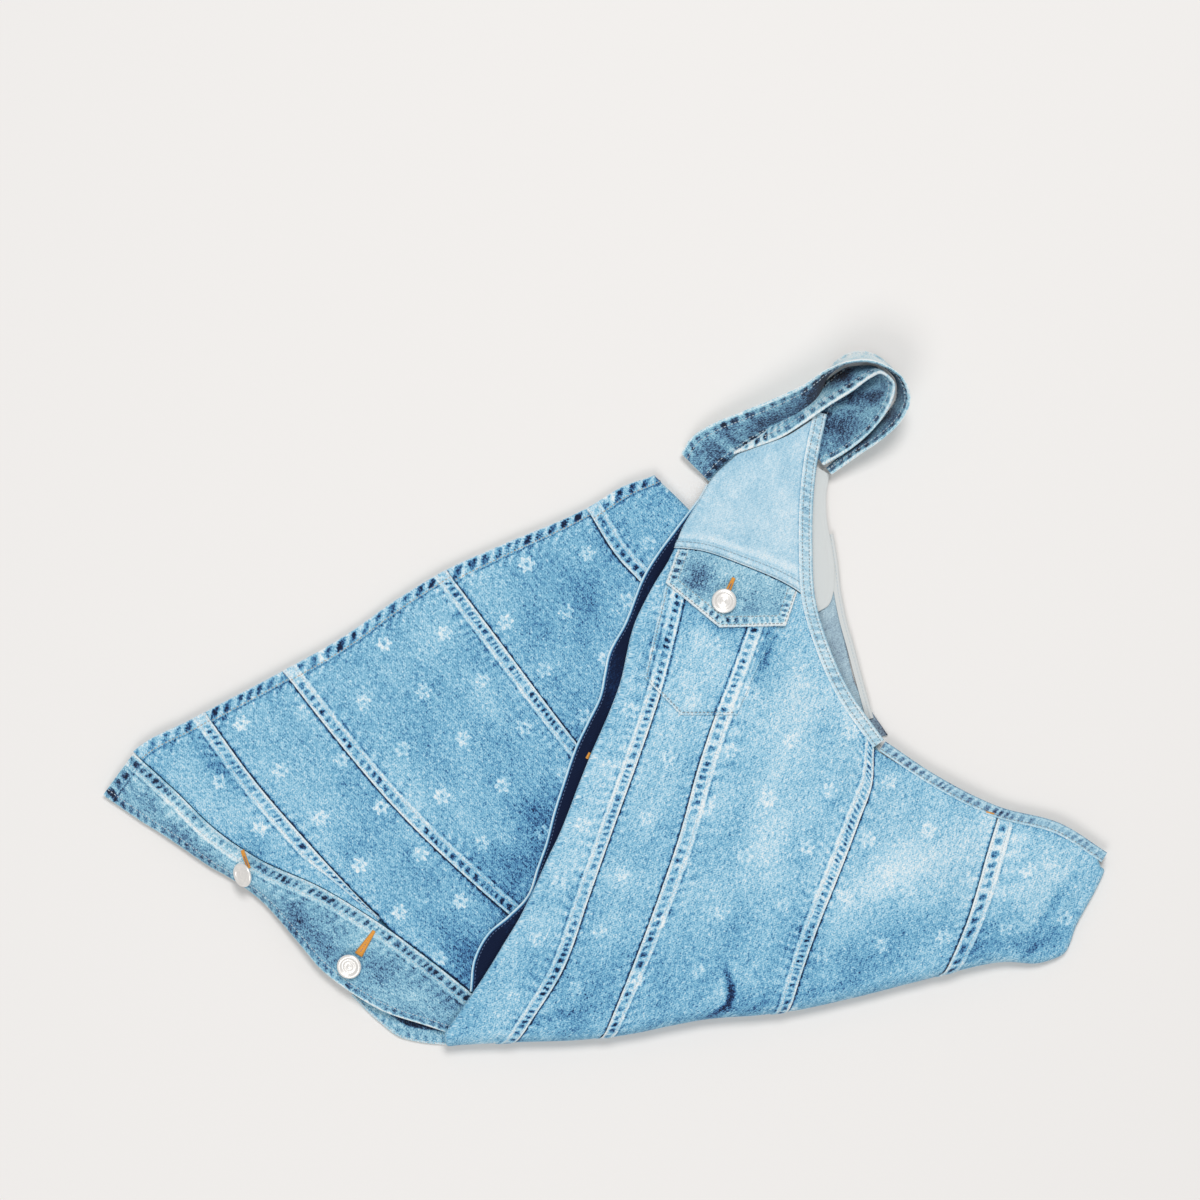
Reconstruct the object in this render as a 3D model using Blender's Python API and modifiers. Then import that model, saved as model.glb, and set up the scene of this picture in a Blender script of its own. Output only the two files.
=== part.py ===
"""Halter denim dress, laid on its side and folded once at the waist.

The skirt lies to the left with its placket along the lower edge. The bodice is
folded back over it, so the waist fold is the long lower edge and the collar
stands on edge at the top. Tables are in millimetres, in plan (x right, y up),
with z up from the surface that the dress lies on.
"""
import math

import bpy
import numpy as np

MM = 0.001

WALL = 1.6            # denim wall of a panel
BOUND_WALL = 2.4      # doubled cloth: bindings, collar, placket
SEAM_GAP = 0.5        # gap left at each seam
RIDGE = 0.8           # how far a felled seam stands up
FELL_WIDTH = 11.0     # width of a felled seam
HEM_WIDTH = 9.0       # depth of the turned hem
FELL_MOST = 0.42      # a felled seam takes at most this share of a narrow panel
YOKE_HEM = 8.0        # depth of the stitched edge of the yoke
STRIP_STEP = 1.0      # width of the step beside a raised strip
LEAST_WIDTH = 3.0     # a panel's width is read as at least this where it comes to a point
CELL = 17.0           # usual size of a mesh cell

# ---------------------------------------------------------------- plan curves
# Each row is a seam or edge of the garment; its columns are plan points (x, y).

SKIRT_CURVES = {
    "hem": ((-376, -72), (-352, -38), (-308, -14), (-240, 22), (-199, 45), (-154, 76),
            (-119, 97), (-79, 115), (-14, 143), (15, 160), (36, 167)),
    "placket_seam": ((-352, -40), (-320, -69), (-290, -98), (-259, -119), (-211, -141),
                     (-170, -166), (-124, -200), (-94, -224)),
    "seam_1": ((-298, -12), (-262, -61), (-222, -107), (-184, -148), (-168, -164)),
    "seam_2": ((-241, 21), (-206, -24), (-154, -85), (-94, -142), (-52, -178)),
    "seam_3": ((-119, 97), (-79, 44), (-34, -16), (-2, -57)),
    "seam_4": ((-14, 143), (11, 104), (26, 88), (48, 58)),
    "back_fold": ((36, 167), (47, 157), (62, 143), (90, 116)),
}

BODICE_CURVES = {
    "front_fold": ((52, 113), (32, 82), (17, 40), (15, 14), (-1, -19), (-20, -74),
                   (-41, -112), (-54, -143), (-76, -181), (-98, -220), (-106, -239), (-119, -250)),
    "yoke_front": ((98, 183), (80, 166), (71, 151), (56, 125), (52, 113)),
    "seam_5": ((67, 112), (58, 71), (43, 10), (23, -50), (-2, -119), (-21, -182), (-51, -237), (-71, -256)),
    "seam_6": ((121, 94), (96, 26), (76, -27), (56, -98), (30, -173), (-2, -253)),
    "seam_7": ((207, -37), (192, -91), (167, -143), (151, -200), (137, -232)),
    "seam_8": ((294, -87), (286, -112), (278, -139), (269, -166), (259, -189), (250, -206)),
    "yoke_seam": ((52, 113), (71, 111), (101, 101), (139, 84), (158, 71)),
    "neck_seam": ((98, 183), (116, 189), (137, 196), (166, 214)),
    "armhole": ((166, 214), (158, 173), (155, 115), (158, 71), (164, 50), (182, 8), (209, -31)),
    "back_top": ((209, -31), (248, -57), (294, -80), (341, -93), (376, -115)),
    "waist": ((-119, -259), (-78, -257), (-2, -253), (71, -240), (137, -233), (198, -220), (250, -206),
              (297, -197), (328, -197), (343, -191), (354, -168), (370, -138), (375, -127)),
}

BELOW_SEAM_1 = (0.12, 0.4, 0.7, 1.0)   # points of the placket seam read below the foot of seam 1
BACK_END = 0.955                  # the back panel stops at this fraction of the top binding
YOKE_CELLS = 6                    # cells across the yoke
BODICE_ROWS = 18                  # rows of cells from the top of a bodice panel to the fold
BINDING_WIDTH = 10.0
BACK_BINDING_WIDTH = 8.0
BINDING_ROWS = 26                 # rows of cells along the armhole binding
BACK_BINDING_ROWS = 18
BINDING_SECTION = ((0.0, 0.0), (0.45, -0.5), (0.8, -0.3), (0.95, 0.3), (1.0, 1.0))   # across, drop

PLACKET_ACROSS = (0.0, 0.16, 0.33, 0.5, 0.67, 0.84, 1.0)
# The placket of the skirt: a row for each section, with its outer edge and its crest.
PLACKET_SECTIONS = (
    # edge x, edge y, edge z, crest z, how far across the crest is
    (-376, -72, 5.0, 8.6, 0.5),
    (-352, -89, 5.2, 10.0, 0.5),
    (-322, -108, 5.5, 12.0, 0.5),
    (-296, -126, 6.0, 13.8, 0.55),
    (-275, -138, 5.6, 15.4, 0.6),
    (-256, -153, 6.5, 15.6, 0.62),
    (-232, -179, 10.0, 15.4, 0.6),
    (-212, -202, 12.6, 15.2, 0.55),
    (-190, -219, 13.0, 14.6, 0.5),
    (-164, -234, 12.4, 13.6, 0.5),
    (-137, -243, 11.2, 12.4, 0.5),
    (-116, -250, 10.0, 11.0, 0.5),
)

# The far placket, inside face up: free edge in plan, then the height of its edge and its width.
FAR_PLACKET_SECTIONS = (
    # x, y, z, width
    (76, 161, 8.1, 12),
    (71, 152, 9.0, 13),
    (62, 140, 10.4, 15),
    (52, 127, 10.9, 18),
    (30, 95, 11.2, 22),
    (13, 50, 11.4, 25),
    (-2, 31, 11.4, 28),
    (-17, -27, 11.6, 27),
    (-34, -72, 11.8, 24),
    (-49, -120, 12.0, 22),
    (-66, -153, 12.0, 24),
    (-90, -184, 11.6, 26),
    (-101, -218, 11.2, 22),
)

# Soft rises (and hollows) of the cloth: place, length and width at an angle, and height.
SKIRT_HEIGHT = 7.8
SKIRT_SWELLS = (
    # x, y, length, width, degrees, rise
    (-290, -70, 60, 30, -40, 2.4),
    (-235, -98, 60, 26, -32, 2.2),
    (-150, -150, 60, 30, -40, 1.6),
    (-200, -30, 90, 26, -48, 1.2),
    (-100, 10, 100, 30, -50, 1.4),
    (-20, 60, 60, 26, -52, 1.0),
    (-60, -100, 60, 40, -45, 1.0),
)

UNDER_EDGE_START = (62, 141)      # back fold of the skirt, where the bodice covers it
UNDER_EDGE_END = (341, -192)
STEP_START = -12.0                # the bodice climbs over the skirt between these distances
STEP_END = 62.0
BODICE_LOW = 9.2
BODICE_HIGH = 21.5
BODICE_SWELLS = (
    # x, y, length, width, degrees, rise
    (60, -215, 120, 34, 8, 3.4),
    (20, -60, 110, 26, 70, 1.8),
    (95, -70, 110, 30, 72, 1.6),
    (160, -110, 80, 26, 70, 2.4),
    (250, -120, 70, 34, 65, 3.0),
    (315, -140, 50, 22, 60, 2.6),
    (118, 150, 60, 34, 60, 2.6),
    (66, 132, 44, 34, 58, 6.8),
    (150, 205, 34, 22, 30, 3.4),
    (100, 30, 60, 34, 72, 1.5),
    (-70, -215, 60, 24, 40, -1.5),
)

FLOOR_GAP = 0.5                   # the lowest cloth over the surface
CURL_STEPS = (30, 60, 90, 120, 150)        # rows round a fold at a side, degrees
WAIST_STEPS = (25, 50, 75, 100, 125, 150)   # rows round the waist fold, degrees
FRONT_CURL = 2.8                  # radius of the front fold
BACK_CURL = 3.4                   # radius of the skirt's back fold

# The collar: a row for each section, from the top rim down to the base.
STAND_SECTIONS = (
    # rim x, y, z, base x, y, z
    (97.2, 183.7, 12.9, 97, 189.5, 12.0),
    (113.8, 189.0, 13.1, 114, 199, 10.0),
    (131.6, 195.7, 14.6, 132, 210, 8.0),
    (149, 206.5, 17.5, 148, 222, 6.0),
    (167, 219, 23.0, 161, 234, 4.5),
    (183, 229, 29.0, 174, 244, 4.5),
    (197, 239, 36.0, 185, 248, 4.5),
    (204, 242, 39.0, 193, 247, 4.5),
    (212, 237, 40.5, 195, 241, 4.5),
    (214, 230, 40.0, 190, 233, 4.5),
    (209, 215, 36.0, 182, 222, 4.5),
    (198, 200, 30.0, 174, 210, 4.2),
    (183, 187, 22.0, 168, 198, 4.0),
    (163, 175, 12.0, 164, 187, 3.6),
)
STAND_BULGE = -0.16                # how far the middle of a section bows out, of its width

LEAF_SECTIONS = (
    # rim x, y, z, base x, y, z
    (57, 184, 8.0, 78, 163, 3.6),
    (64, 195, 10.5, 88, 174, 3.6),
    (79, 205, 15.0, 103, 186, 5.0),
    (101, 214, 21.0, 117, 201, 5.0),
    (124, 223, 28.0, 132, 217, 4.2),
    (146, 233, 34.0, 147, 230, 4.4),
    (165, 244, 38.5, 163, 244, 4.6),
    (184, 250, 41.5, 182, 258, 4.6),
    (193, 251, 42.5, 193, 259, 4.6),
    (210, 246, 43.0, 207, 253, 4.8),
    (221, 236, 43.0, 219, 242, 5.2),
    (225, 222, 42.0, 219, 225, 6.0),
    (219, 207, 38.0, 211, 213, 6.0),
    (206, 194, 32.0, 199, 201, 5.0),
    (190, 183, 25.0, 184, 189, 4.4),
    (169, 168, 14.0, 166, 173, 3.6),
)
LEAF_BULGE = 0.12
LOOP_ROWS = 3                     # rows of cells between two sections
LOOP_ACROSS = (0.0, 0.25, 0.5, 0.75, 1.0)

# The far half in the armhole, inside face up: its free edges in plan.
FAR_YOKE_EDGE = ((168, 168), (165, 148), (169, 123), (174, 89), (176, 66))
FAR_BINDING_EDGE = ((176, 66), (179, 64), (186, 37), (194, 7), (200, -14))
FAR_HEIGHT = 4.4
FAR_INNER_REACH = 9.0             # how far the far pieces reach under the near armhole
FAR_NECK_POINT = (159, 178)       # the far yoke starts under this point of the near armhole
FAR_YOKE_POINT = (160, 66)        # the far yoke ends here
FAR_SIDE_POINT = (205, -24)       # the far side panel ends here
FAR_YOKE_GAP = 0.012              # gap below the far yoke, as a fraction of the armhole
FAR_BINDING_WIDTH = 5.5
FAR_BINDING_START = 0.03          # the binding starts at this fraction of its edge
FAR_SECTION = ((0.0, 0.0), (0.4, 0.0), (0.8, 0.2), (1.0, 0.8))   # fraction across, drop
FAR_PLACKET_SECTION = ((0.0, 0.0), (0.35, 0.4), (0.7, 0.7), (1.0, 0.8))   # fraction across, rise
STRIP_ROWS = 12                   # rows of cells along a narrow strip

UNDER_WRAP_EDGE = ((-190, -222), (-169, -242), (-154, -253), (-139, -257), (-119.9, -259))
UNDER_WRAP_WIDTH = 15.0
UNDER_WRAP_TIP = 1.5              # its width at the pointed end
UNDER_WRAP_TAPER = 2.2            # it is full width after 1 / this of its length
UNDER_WRAP_HEIGHT = 3.5
UNDER_WRAP_SECTION = ((0.0, 0.2), (0.1, 0.0), (0.5, 0.0), (1.0, 0.0))   # fraction across, drop

POCKET_CORNERS = {"top_left": (46, 90), "top_right": (134, 66), "low_right": (103, 3),
                  "low_left": (30, 18), "point_left": (42, 2), "point_right": (98, -11)}
FLAP_CORNERS = {"top_left": (54, 112), "top_right": (144, 81), "low_right": (135, 55),
                "point": (85, 54), "low_left": (45, 87)}
POCKET_LIFT = 1.5
POCKET_WALL = 1.0
FLAP_TOP_LIFT = 1.5
FLAP_LIFT = 3.3
FLAP_WALL = 2.0
FLAP_BELOW_SEAM = 0.9             # gap between the yoke and the flap
TUCK_SHARE = 2.5                  # the flap reaches its full lift after 1 / this of its depth
PATCH_COLUMNS = 11
PATCH_ROWS = 9

# Buttons: the place of each on what carries it, in plan.
PLACKET_BUTTONS = {"button_hem": (-270, -134), "button_skirt": (-190, -198)}
FLAP_BUTTON = {"button_flap": (88.5, 74.0)}
BUTTON_SIDES = 20
BUTTON_SEAT = 0.3                 # a shank's foot stands this far off the cloth
BUTTON_PROFILE = (
    # radius, height above the shank's foot
    (0.0, 5.0), (5.2, 5.0), (5.9, 5.7), (7.6, 5.8), (8.7, 4.9), (8.7, 4.2), (7.6, 3.4),
    (3.2, 3.0), (3.0, 0.0), (0.0, 0.0),
)

# The hidden layers: one rounded solid, with sides like a pile of cloth.
LAYER_PROFILE = (
    # set out from the top's edge, and height as a fraction of the top's
    (0.8, 0.90), (1.2, 0.74), (0.6, 0.62), (0.2, 0.56), (1.2, 0.48), (1.6, 0.34), (1.0, 0.2),
    (0.6, 0.0),
)
CORE_SKIRT = {
    # edges of the hidden layers under the skirt, in plan
    "left": ((-366, -63), (-322, -94), (-286, -118), (-252, -136), (-218, -158), (-180, -186),
             (-140, -214), (-104, -240)),
    "right": ((30, 160), (56, 136), (150, 26), (250, -92), (318, -176)),
    "top": ((-366, -63), (-346, -40), (-304, -18), (-238, 17), (-154, 70), (-79, 108), (-16, 137),
            (30, 160)),
    "bottom": ((-104, -240), (-60, -240), (60, -226), (180, -206), (260, -186), (318, -176)),
}
CORE_BODICE = {
    # edges of the hidden layers under the bodice
    "left": ((108, 174), (100, 150), (92, 112), (62, 66), (44, 20), (22, -46), (-2, -104),
             (-24, -150), (-50, -192), (-66, -226)),
    "right": ((140, 186), (144, 130), (145, 74), (156, 20), (184, -34), (244, -74), (300, -98), (348, -116),
              (354, -140), (336, -170)),
    "top": ((108, 174), (124, 180), (140, 186)),
    "bottom": ((-66, -226), (0, -222), (70, -212), (140, -206), (200, -196), (260, -184), (336, -170)),
}
CORE_CLEAR = 3.7                  # hidden layers lie this far under the outer surface
CORE_SKIRT_CELLS = (16, 20)
CORE_BODICE_CELLS = (12, 22)
CORE_EDGE_DROP = 1.4              # how far the top falls at its edge
CORE_EDGE_SHARE = 10.0            # over 1 / this of its width

MATERIALS = {
    # colour, roughness, metallic
    "denim": ((0.22, 0.42, 0.58), 0.85, 0.0),
    "pale_denim": ((0.45, 0.62, 0.74), 0.85, 0.0),
    "dark_denim": ((0.06, 0.13, 0.28), 0.9, 0.0),
    "white_cotton": ((0.78, 0.80, 0.78), 0.85, 0.0),
    "metal": ((0.78, 0.75, 0.70), 0.35, 0.8),
}


# ------------------------------------------------------------------ geometry
def curve(points):
    """A smooth curve through points, read by the fraction of its length."""
    knots = np.asarray(points, float)
    steps = np.linalg.norm(np.diff(knots, axis=0), axis=1)
    chord = np.concatenate(([0.0], np.cumsum(steps)))
    slope = np.gradient(knots, chord, axis=0)
    fine = np.linspace(0.0, chord[-1], 40 * len(knots))
    at = np.clip(np.searchsorted(chord, fine, side="right") - 1, 0, len(chord) - 2)
    span = (chord[at + 1] - chord[at])[:, None]
    t = (fine - chord[at])[:, None] / span
    path = knots[at] * (2 * t**3 - 3 * t**2 + 1) + slope[at] * span * (t**3 - 2 * t**2 + t)
    path += knots[at + 1] * (3 * t**2 - 2 * t**3) + slope[at + 1] * span * (t**3 - t**2)
    run = np.concatenate(([0.0], np.cumsum(np.linalg.norm(np.diff(path, axis=0), axis=1))))

    def read(fraction):
        place = np.asarray(fraction, float) * run[-1]
        return np.stack([np.interp(place, run, path[:, k]) for k in range(path.shape[1])], axis=-1)

    read.length = run[-1]
    return read


def part_of(whole, start, end):
    """The stretch of a curve between two fractions of its length."""
    def read(fraction):
        return whole(start + (end - start) * np.asarray(fraction, float))

    read.length = abs(end - start) * whole.length
    return read


def meeting(whole, point):
    """The fraction of a curve's length that lies nearest to a point."""
    at = np.linspace(0.0, 1.0, 2001)
    return float(at[np.argmin(np.linalg.norm(whole(at) - np.asarray(point, float), axis=1))])


def crossing(one, other):
    """The fractions of two curves' lengths where they come nearest."""
    at = np.linspace(0.0, 1.0, 500)
    apart = np.linalg.norm(one(at)[:, None] - other(at)[None], axis=2)
    i, j = np.unravel_index(np.argmin(apart), apart.shape)
    return float(at[i]), float(at[j])


def set_in(whole, distance, side=1.0):
    """A plan curve moved to its left (side 1) or its right (side -1)."""
    at = np.linspace(0.0, 1.0, 60)
    path = whole(at)
    along = np.gradient(path, axis=0)
    along /= np.linalg.norm(along, axis=1)[:, None]
    normal = np.stack([-along[:, 1], along[:, 0]], axis=1)
    moved = path + side * np.asarray(distance) * normal

    def read(fraction):
        return np.stack([np.interp(fraction, at, moved[:, k]) for k in range(2)], axis=-1)

    read.length = whole.length
    return read


def patch(left, right, top, bottom, u, v):
    """Plan points between four edge curves; u runs across and v runs down."""
    a = u[..., None]
    b = v[..., None]
    sides = (1 - a) * left(v) + a * right(v)
    ends = (1 - b) * top(u) + b * bottom(u)
    upper = (1 - a) * left(0.0) + a * right(0.0)
    lower = (1 - a) * left(1.0) + a * right(1.0)
    return sides + ends - (1 - b) * upper - b * lower


def smooth_step(t):
    t = np.clip(t, 0.0, 1.0)
    return t * t * (3 - 2 * t)


def swell(table, x, y):
    """Sum of the soft rises at plan points."""
    total = np.zeros(np.shape(x))
    for cx, cy, length, width, degrees, rise in table:
        c = math.cos(math.radians(degrees))
        s = math.sin(math.radians(degrees))
        along = ((x - cx) * c + (y - cy) * s) / length
        across = ((y - cy) * c - (x - cx) * s) / width
        total = total + rise * np.exp(-along**2 - across**2)
    return total


def skirt_height(x, y):
    return SKIRT_HEIGHT + swell(SKIRT_SWELLS, x, y)


def bodice_height(x, y):
    """Height of the bodice: two layers beyond the skirt, four where it lies over it."""
    x0, y0 = UNDER_EDGE_START
    x1, y1 = UNDER_EDGE_END
    length = math.hypot(x1 - x0, y1 - y0)
    inside = ((x - x0) * (y1 - y0) - (y - y0) * (x1 - x0)) / length
    climb = smooth_step((inside - STEP_START) / (STEP_END - STEP_START))
    return BODICE_LOW + (BODICE_HIGH - BODICE_LOW) * climb + swell(BODICE_SWELLS, x, y)


def normals(grid):
    """Unit normals of a grid of points, up when u runs right and v runs down."""
    across = np.gradient(grid, axis=1)
    down = np.gradient(grid, axis=0)
    normal = np.cross(down, across)
    length = np.linalg.norm(normal, axis=2)[..., None]
    return normal / np.maximum(length, 1e-9)


def across_fractions(widths, left_strip, right_strip, cells):
    """Fractions across a panel, row by row, and how much each column is raised."""
    edge = SEAM_GAP / 2 / widths
    left = [edge]
    right = [1 - edge]
    raised_left = [0.0]
    raised_right = [0.0]
    if left_strip:
        inner = np.minimum(FELL_WIDTH / widths, FELL_MOST)
        left = [edge, inner - STRIP_STEP / widths, inner]
        raised_left = [1.0, 1.0, 0.0]
    if right_strip:
        inner = 1 - np.minimum(FELL_WIDTH / widths, FELL_MOST)
        right = [inner, inner + STRIP_STEP / widths, 1 - edge]
        raised_right = [0.0, 1.0, 1.0]
    middle = [left[-1] + (right[0] - left[-1]) * k / cells for k in range(1, cells)]
    columns = np.stack(left + middle + right, axis=1)
    raised = np.array(raised_left + [0.0] * len(middle) + raised_right)
    return columns, raised


def down_fractions(length, strip, cells):
    """Fractions down a panel whose top edge has a raised strip, and how much each row is raised."""
    edge = SEAM_GAP / 2 / length
    top = [edge, (strip - STRIP_STEP) / length, strip / length]
    raised = [1.0, 1.0, 0.0]
    rest = [top[-1] + (1 - edge - top[-1]) * k / cells for k in range(1, cells + 1)]
    return np.array(top + rest), np.array(raised + [0.0] * len(rest))


def cells_for(length):
    return max(2, int(round(length / CELL)))


def roll(start, outward, top_normal, radius, degrees):
    """Points round a fold, from where the cloth leaves the flat."""
    turn = np.radians(degrees)
    if np.ndim(radius):
        radius = radius[..., None]
    return start + outward * radius * math.sin(turn) - top_normal * radius * (1 - math.cos(turn))


# -------------------------------------------------------------------- meshes
def material(name):
    made = bpy.data.materials.get(name)
    if made is None:
        colour, roughness, metallic = MATERIALS[name]
        made = bpy.data.materials.new(name)
        made.use_nodes = True
        shader = made.node_tree.nodes["Principled BSDF"]
        shader.inputs["Base Color"].default_value = (*colour, 1.0)
        shader.inputs["Roughness"].default_value = roughness
        shader.inputs["Metallic"].default_value = metallic
        made.diffuse_color = (*colour, 1.0)
    return made


def add_object(name, points, faces, finish, collection):
    mesh = bpy.data.meshes.new(name)
    mesh.from_pydata([tuple(p) for p in np.asarray(points) * MM], [], faces)
    mesh.shade_smooth()
    mesh.set_sharp_from_angle(angle=math.radians(50))
    mesh.materials.append(material(finish).copy())
    mesh.materials[0].name = name
    made = bpy.data.objects.new(name, mesh)
    collection.objects.link(made)
    return made


def closed_shell(name, outer, inner, finish, collection):
    """A closed wall between two grids of the same size."""
    rows, columns = outer.shape[:2]
    count = rows * columns

    def index(r, c):
        return r * columns + c

    faces = []
    for r in range(rows - 1):
        for c in range(columns - 1):
            quad = (index(r, c), index(r + 1, c), index(r + 1, c + 1), index(r, c + 1))
            faces.append(quad)
            faces.append(tuple(count + i for i in reversed(quad)))
    rim = [index(0, c) for c in range(columns)]
    rim += [index(r, columns - 1) for r in range(1, rows)]
    rim += [index(rows - 1, c) for c in range(columns - 2, -1, -1)]
    rim += [index(r, 0) for r in range(rows - 2, 0, -1)]
    for a, b in zip(rim, rim[1:] + rim[:1]):
        faces.append((a, b, count + b, count + a))
    points = np.concatenate((outer.reshape(-1, 3), inner.reshape(-1, 3)))
    return add_object(name, points, faces, finish, collection)


def sheet(name, grid, raised, wall, finish, collection):
    """A wall under a grid, with its seams raised in the outer points alone."""
    normal = normals(grid)
    outer = grid + normal * (RIDGE * raised)[..., None]
    inner = grid - normal * wall
    return closed_shell(name, outer, inner, finish, collection)


# --------------------------------------------------------------------- skirt
def skirt_panel(left, right, top, bottom, strips):
    """A panel of the skirt, with its hem and its felled seams raised."""
    left_strip, right_strip = strips
    length = (left.length + right.length) / 2
    v, hem_raised = down_fractions(length, HEM_WIDTH, cells_for(length))
    widths = np.maximum(np.linalg.norm(right(v) - left(v), axis=1), LEAST_WIDTH)
    u, seam_raised = across_fractions(widths, left_strip, right_strip, cells_for(widths.max()))
    v = np.repeat(v[:, None], u.shape[1], axis=1)
    plan = patch(left, right, top, bottom, u, v)
    height = skirt_height(plan[..., 0], plan[..., 1])
    grid = np.concatenate((plan, height[..., None]), axis=2)
    raised = np.maximum(hem_raised[:, None], seam_raised[None, :])
    return grid, raised


def make_skirt(collection):
    curves = {name: curve(points) for name, points in SKIRT_CURVES.items()}
    hem = curves["hem"]
    order = ("placket_seam", "seam_1", "seam_2", "seam_3", "seam_4", "back_fold")
    at_hem = {name: meeting(hem, SKIRT_CURVES[name][0]) for name in order}
    names = ("skirt_front_panel", "skirt_side_front_panel", "skirt_side_panel",
             "skirt_side_back_panel", "skirt_back_panel")
    strips = ((False, True), (False, False), (True, True), (False, False), (True, False))
    placket = curves["placket_seam"]
    front_end = meeting(placket, SKIRT_CURVES["seam_1"][-1])
    for name, left_name, right_name, pair in zip(names, order, order[1:], strips):
        left = curves[left_name]
        right = curves[right_name]
        if name == "skirt_front_panel":
            left = part_of(placket, 0.0, front_end)
        if name == "skirt_side_front_panel":
            first = [tuple(curves["seam_1"](k / 6)) for k in range(7)]
            rest = [tuple(placket(front_end + (1 - front_end) * k)) for k in BELOW_SEAM_1]
            left = curve(first + rest)
        top = part_of(hem, at_hem[left_name], at_hem[right_name])
        bottom = curve((tuple(left(1.0)), tuple(right(1.0))))
        grid, raised = skirt_panel(left, right, top, bottom, pair)
        if name == "skirt_back_panel":
            grid, raised = roll_side(grid, raised, BACK_CURL)
        sheet(name, grid, raised, WALL, "denim", collection)


def roll_side(grid, raised, radius):
    """Carry the last column of a grid round a fold on that side."""
    normal = normals(grid)[:, -1]
    outward = grid[:, -1] - grid[:, -2]
    outward -= normal * (outward * normal).sum(axis=1)[:, None]
    outward /= np.linalg.norm(outward, axis=1)[:, None]
    start = grid[:, -1] - outward * radius
    columns = [grid[:, :-1], start[:, None]]
    marks = [raised[:, :-1], raised[:, -1:]]
    for step in CURL_STEPS:
        columns.append(roll(start, outward, normal, radius, step)[:, None])
        marks.append(raised[:, -1:])
    return np.concatenate(columns, axis=1), np.concatenate(marks, axis=1)


def make_placket(collection):
    """The skirt's placket turns down along its outer edge and lifts near the waist."""
    seam = set_in(curve(SKIRT_CURVES["placket_seam"]), SEAM_GAP / 2, -1.0)
    rows = len(PLACKET_SECTIONS)
    at = np.linspace(0.0, 1.0, rows)
    fine = np.linspace(0.0, 1.0, 2 * rows - 1)
    section = np.stack([np.interp(fine, at, [row[k] for row in PLACKET_SECTIONS])
                        for k in range(5)], axis=1)
    section[:, :2] = curve(PLACKET_SECTIONS)(fine)[:, :2]
    inner = seam(fine)
    inner_z = skirt_height(inner[:, 0], inner[:, 1])
    grid = []
    for row, start, start_z in zip(section, inner, inner_z):
        edge = row[:2]
        edge_z, crest_z, crest_at = row[2:]
        across = []
        for u in PLACKET_ACROSS:
            bend = 2 * u * (1 - u)
            plan = start + (edge - start) * (u + (crest_at - 0.5) * bend**2)
            height = start_z * (1 - u) + edge_z * u
            height += (crest_z - (start_z + edge_z) / 2) * 2 * bend
            across.append((*plan, height))
        grid.append(across)
    grid = np.array(grid)[:, ::-1]
    raised = np.zeros(grid.shape[:2])
    sheet("skirt_placket", grid, raised, BOUND_WALL, "denim", collection)
    for name, place in PLACKET_BUTTONS.items():
        make_button(name, grid, place, collection)


# -------------------------------------------------------------------- bodice
def fold_under(grid, raised, silhouette, at):
    """Bend the foot of a panel round the waist fold, down to the surface."""
    edge = silhouette(at)
    ahead = silhouette(np.clip(at + 0.004, 0, 1)) - silhouette(np.clip(at - 0.004, 0, 1))
    ahead /= np.linalg.norm(ahead, axis=1)[:, None]
    outward = np.stack([ahead[:, 1], -ahead[:, 0], np.zeros(len(at))], axis=1)
    height = bodice_height(edge[:, 0], edge[:, 1])
    radius = (height - FLOOR_GAP) / 2
    up = np.zeros_like(outward)
    up[:, 2] = 1.0
    start = np.concatenate((edge, height[:, None]), axis=1) - outward * radius[:, None]
    rows = [grid]
    marks = [raised]
    for step in WAIST_STEPS:
        rows.append(roll(start, outward, up, radius, step)[None])
        marks.append(raised[-1:])
    return np.concatenate(rows), np.concatenate(marks)


def fold_start(silhouette):
    """Where the flat of the bodice ends: the silhouette, set in by the fold's radius."""
    at = np.linspace(0.0, 1.0, 80)
    edge = silhouette(at)
    radius = (bodice_height(edge[:, 0], edge[:, 1]) - FLOOR_GAP) / 2
    along = np.gradient(edge, axis=0)
    along /= np.linalg.norm(along, axis=1)[:, None]
    inward = np.stack([-along[:, 1], along[:, 0]], axis=1)
    moved = edge + inward * radius[:, None]

    def read(fraction):
        return np.stack([np.interp(fraction, at, moved[:, k]) for k in range(2)], axis=-1)

    read.length = silhouette.length
    return read


def bodice_panel(left, right, top, foot, silhouette, strips):
    """A panel of the bodice, down to the fold and round it."""
    left_strip, right_strip = strips
    left = joined(left, foot(0.0))
    right = joined(right, foot(1.0))
    length = (left.length + right.length) / 2
    v = np.linspace(SEAM_GAP / 2 / length, 1.0, BODICE_ROWS)
    widths = np.maximum(np.linalg.norm(right(v) - left(v), axis=1), LEAST_WIDTH)
    u, seam_raised = across_fractions(widths, left_strip, right_strip, cells_for(widths.mean()))
    v = np.repeat(v[:, None], u.shape[1], axis=1)
    plan = patch(left, right, top, foot, u, v)
    height = bodice_height(plan[..., 0], plan[..., 1])
    edge = silhouette(u[-1])
    settle = bodice_height(edge[:, 0], edge[:, 1]) - height[-1]
    height += settle[None, :] * v**6
    grid = np.concatenate((plan, height[..., None]), axis=2)
    raised = np.repeat(seam_raised[None, :], BODICE_ROWS, axis=0)
    return fold_under(grid, raised, silhouette, u[-1])


def joined(seam, end):
    """A seam that stops where the fold starts, near its own last point."""
    stop = meeting(seam, end)
    points = [tuple(seam(stop * k / 7)) for k in range(7)]
    return curve(points + [tuple(end)])


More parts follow.
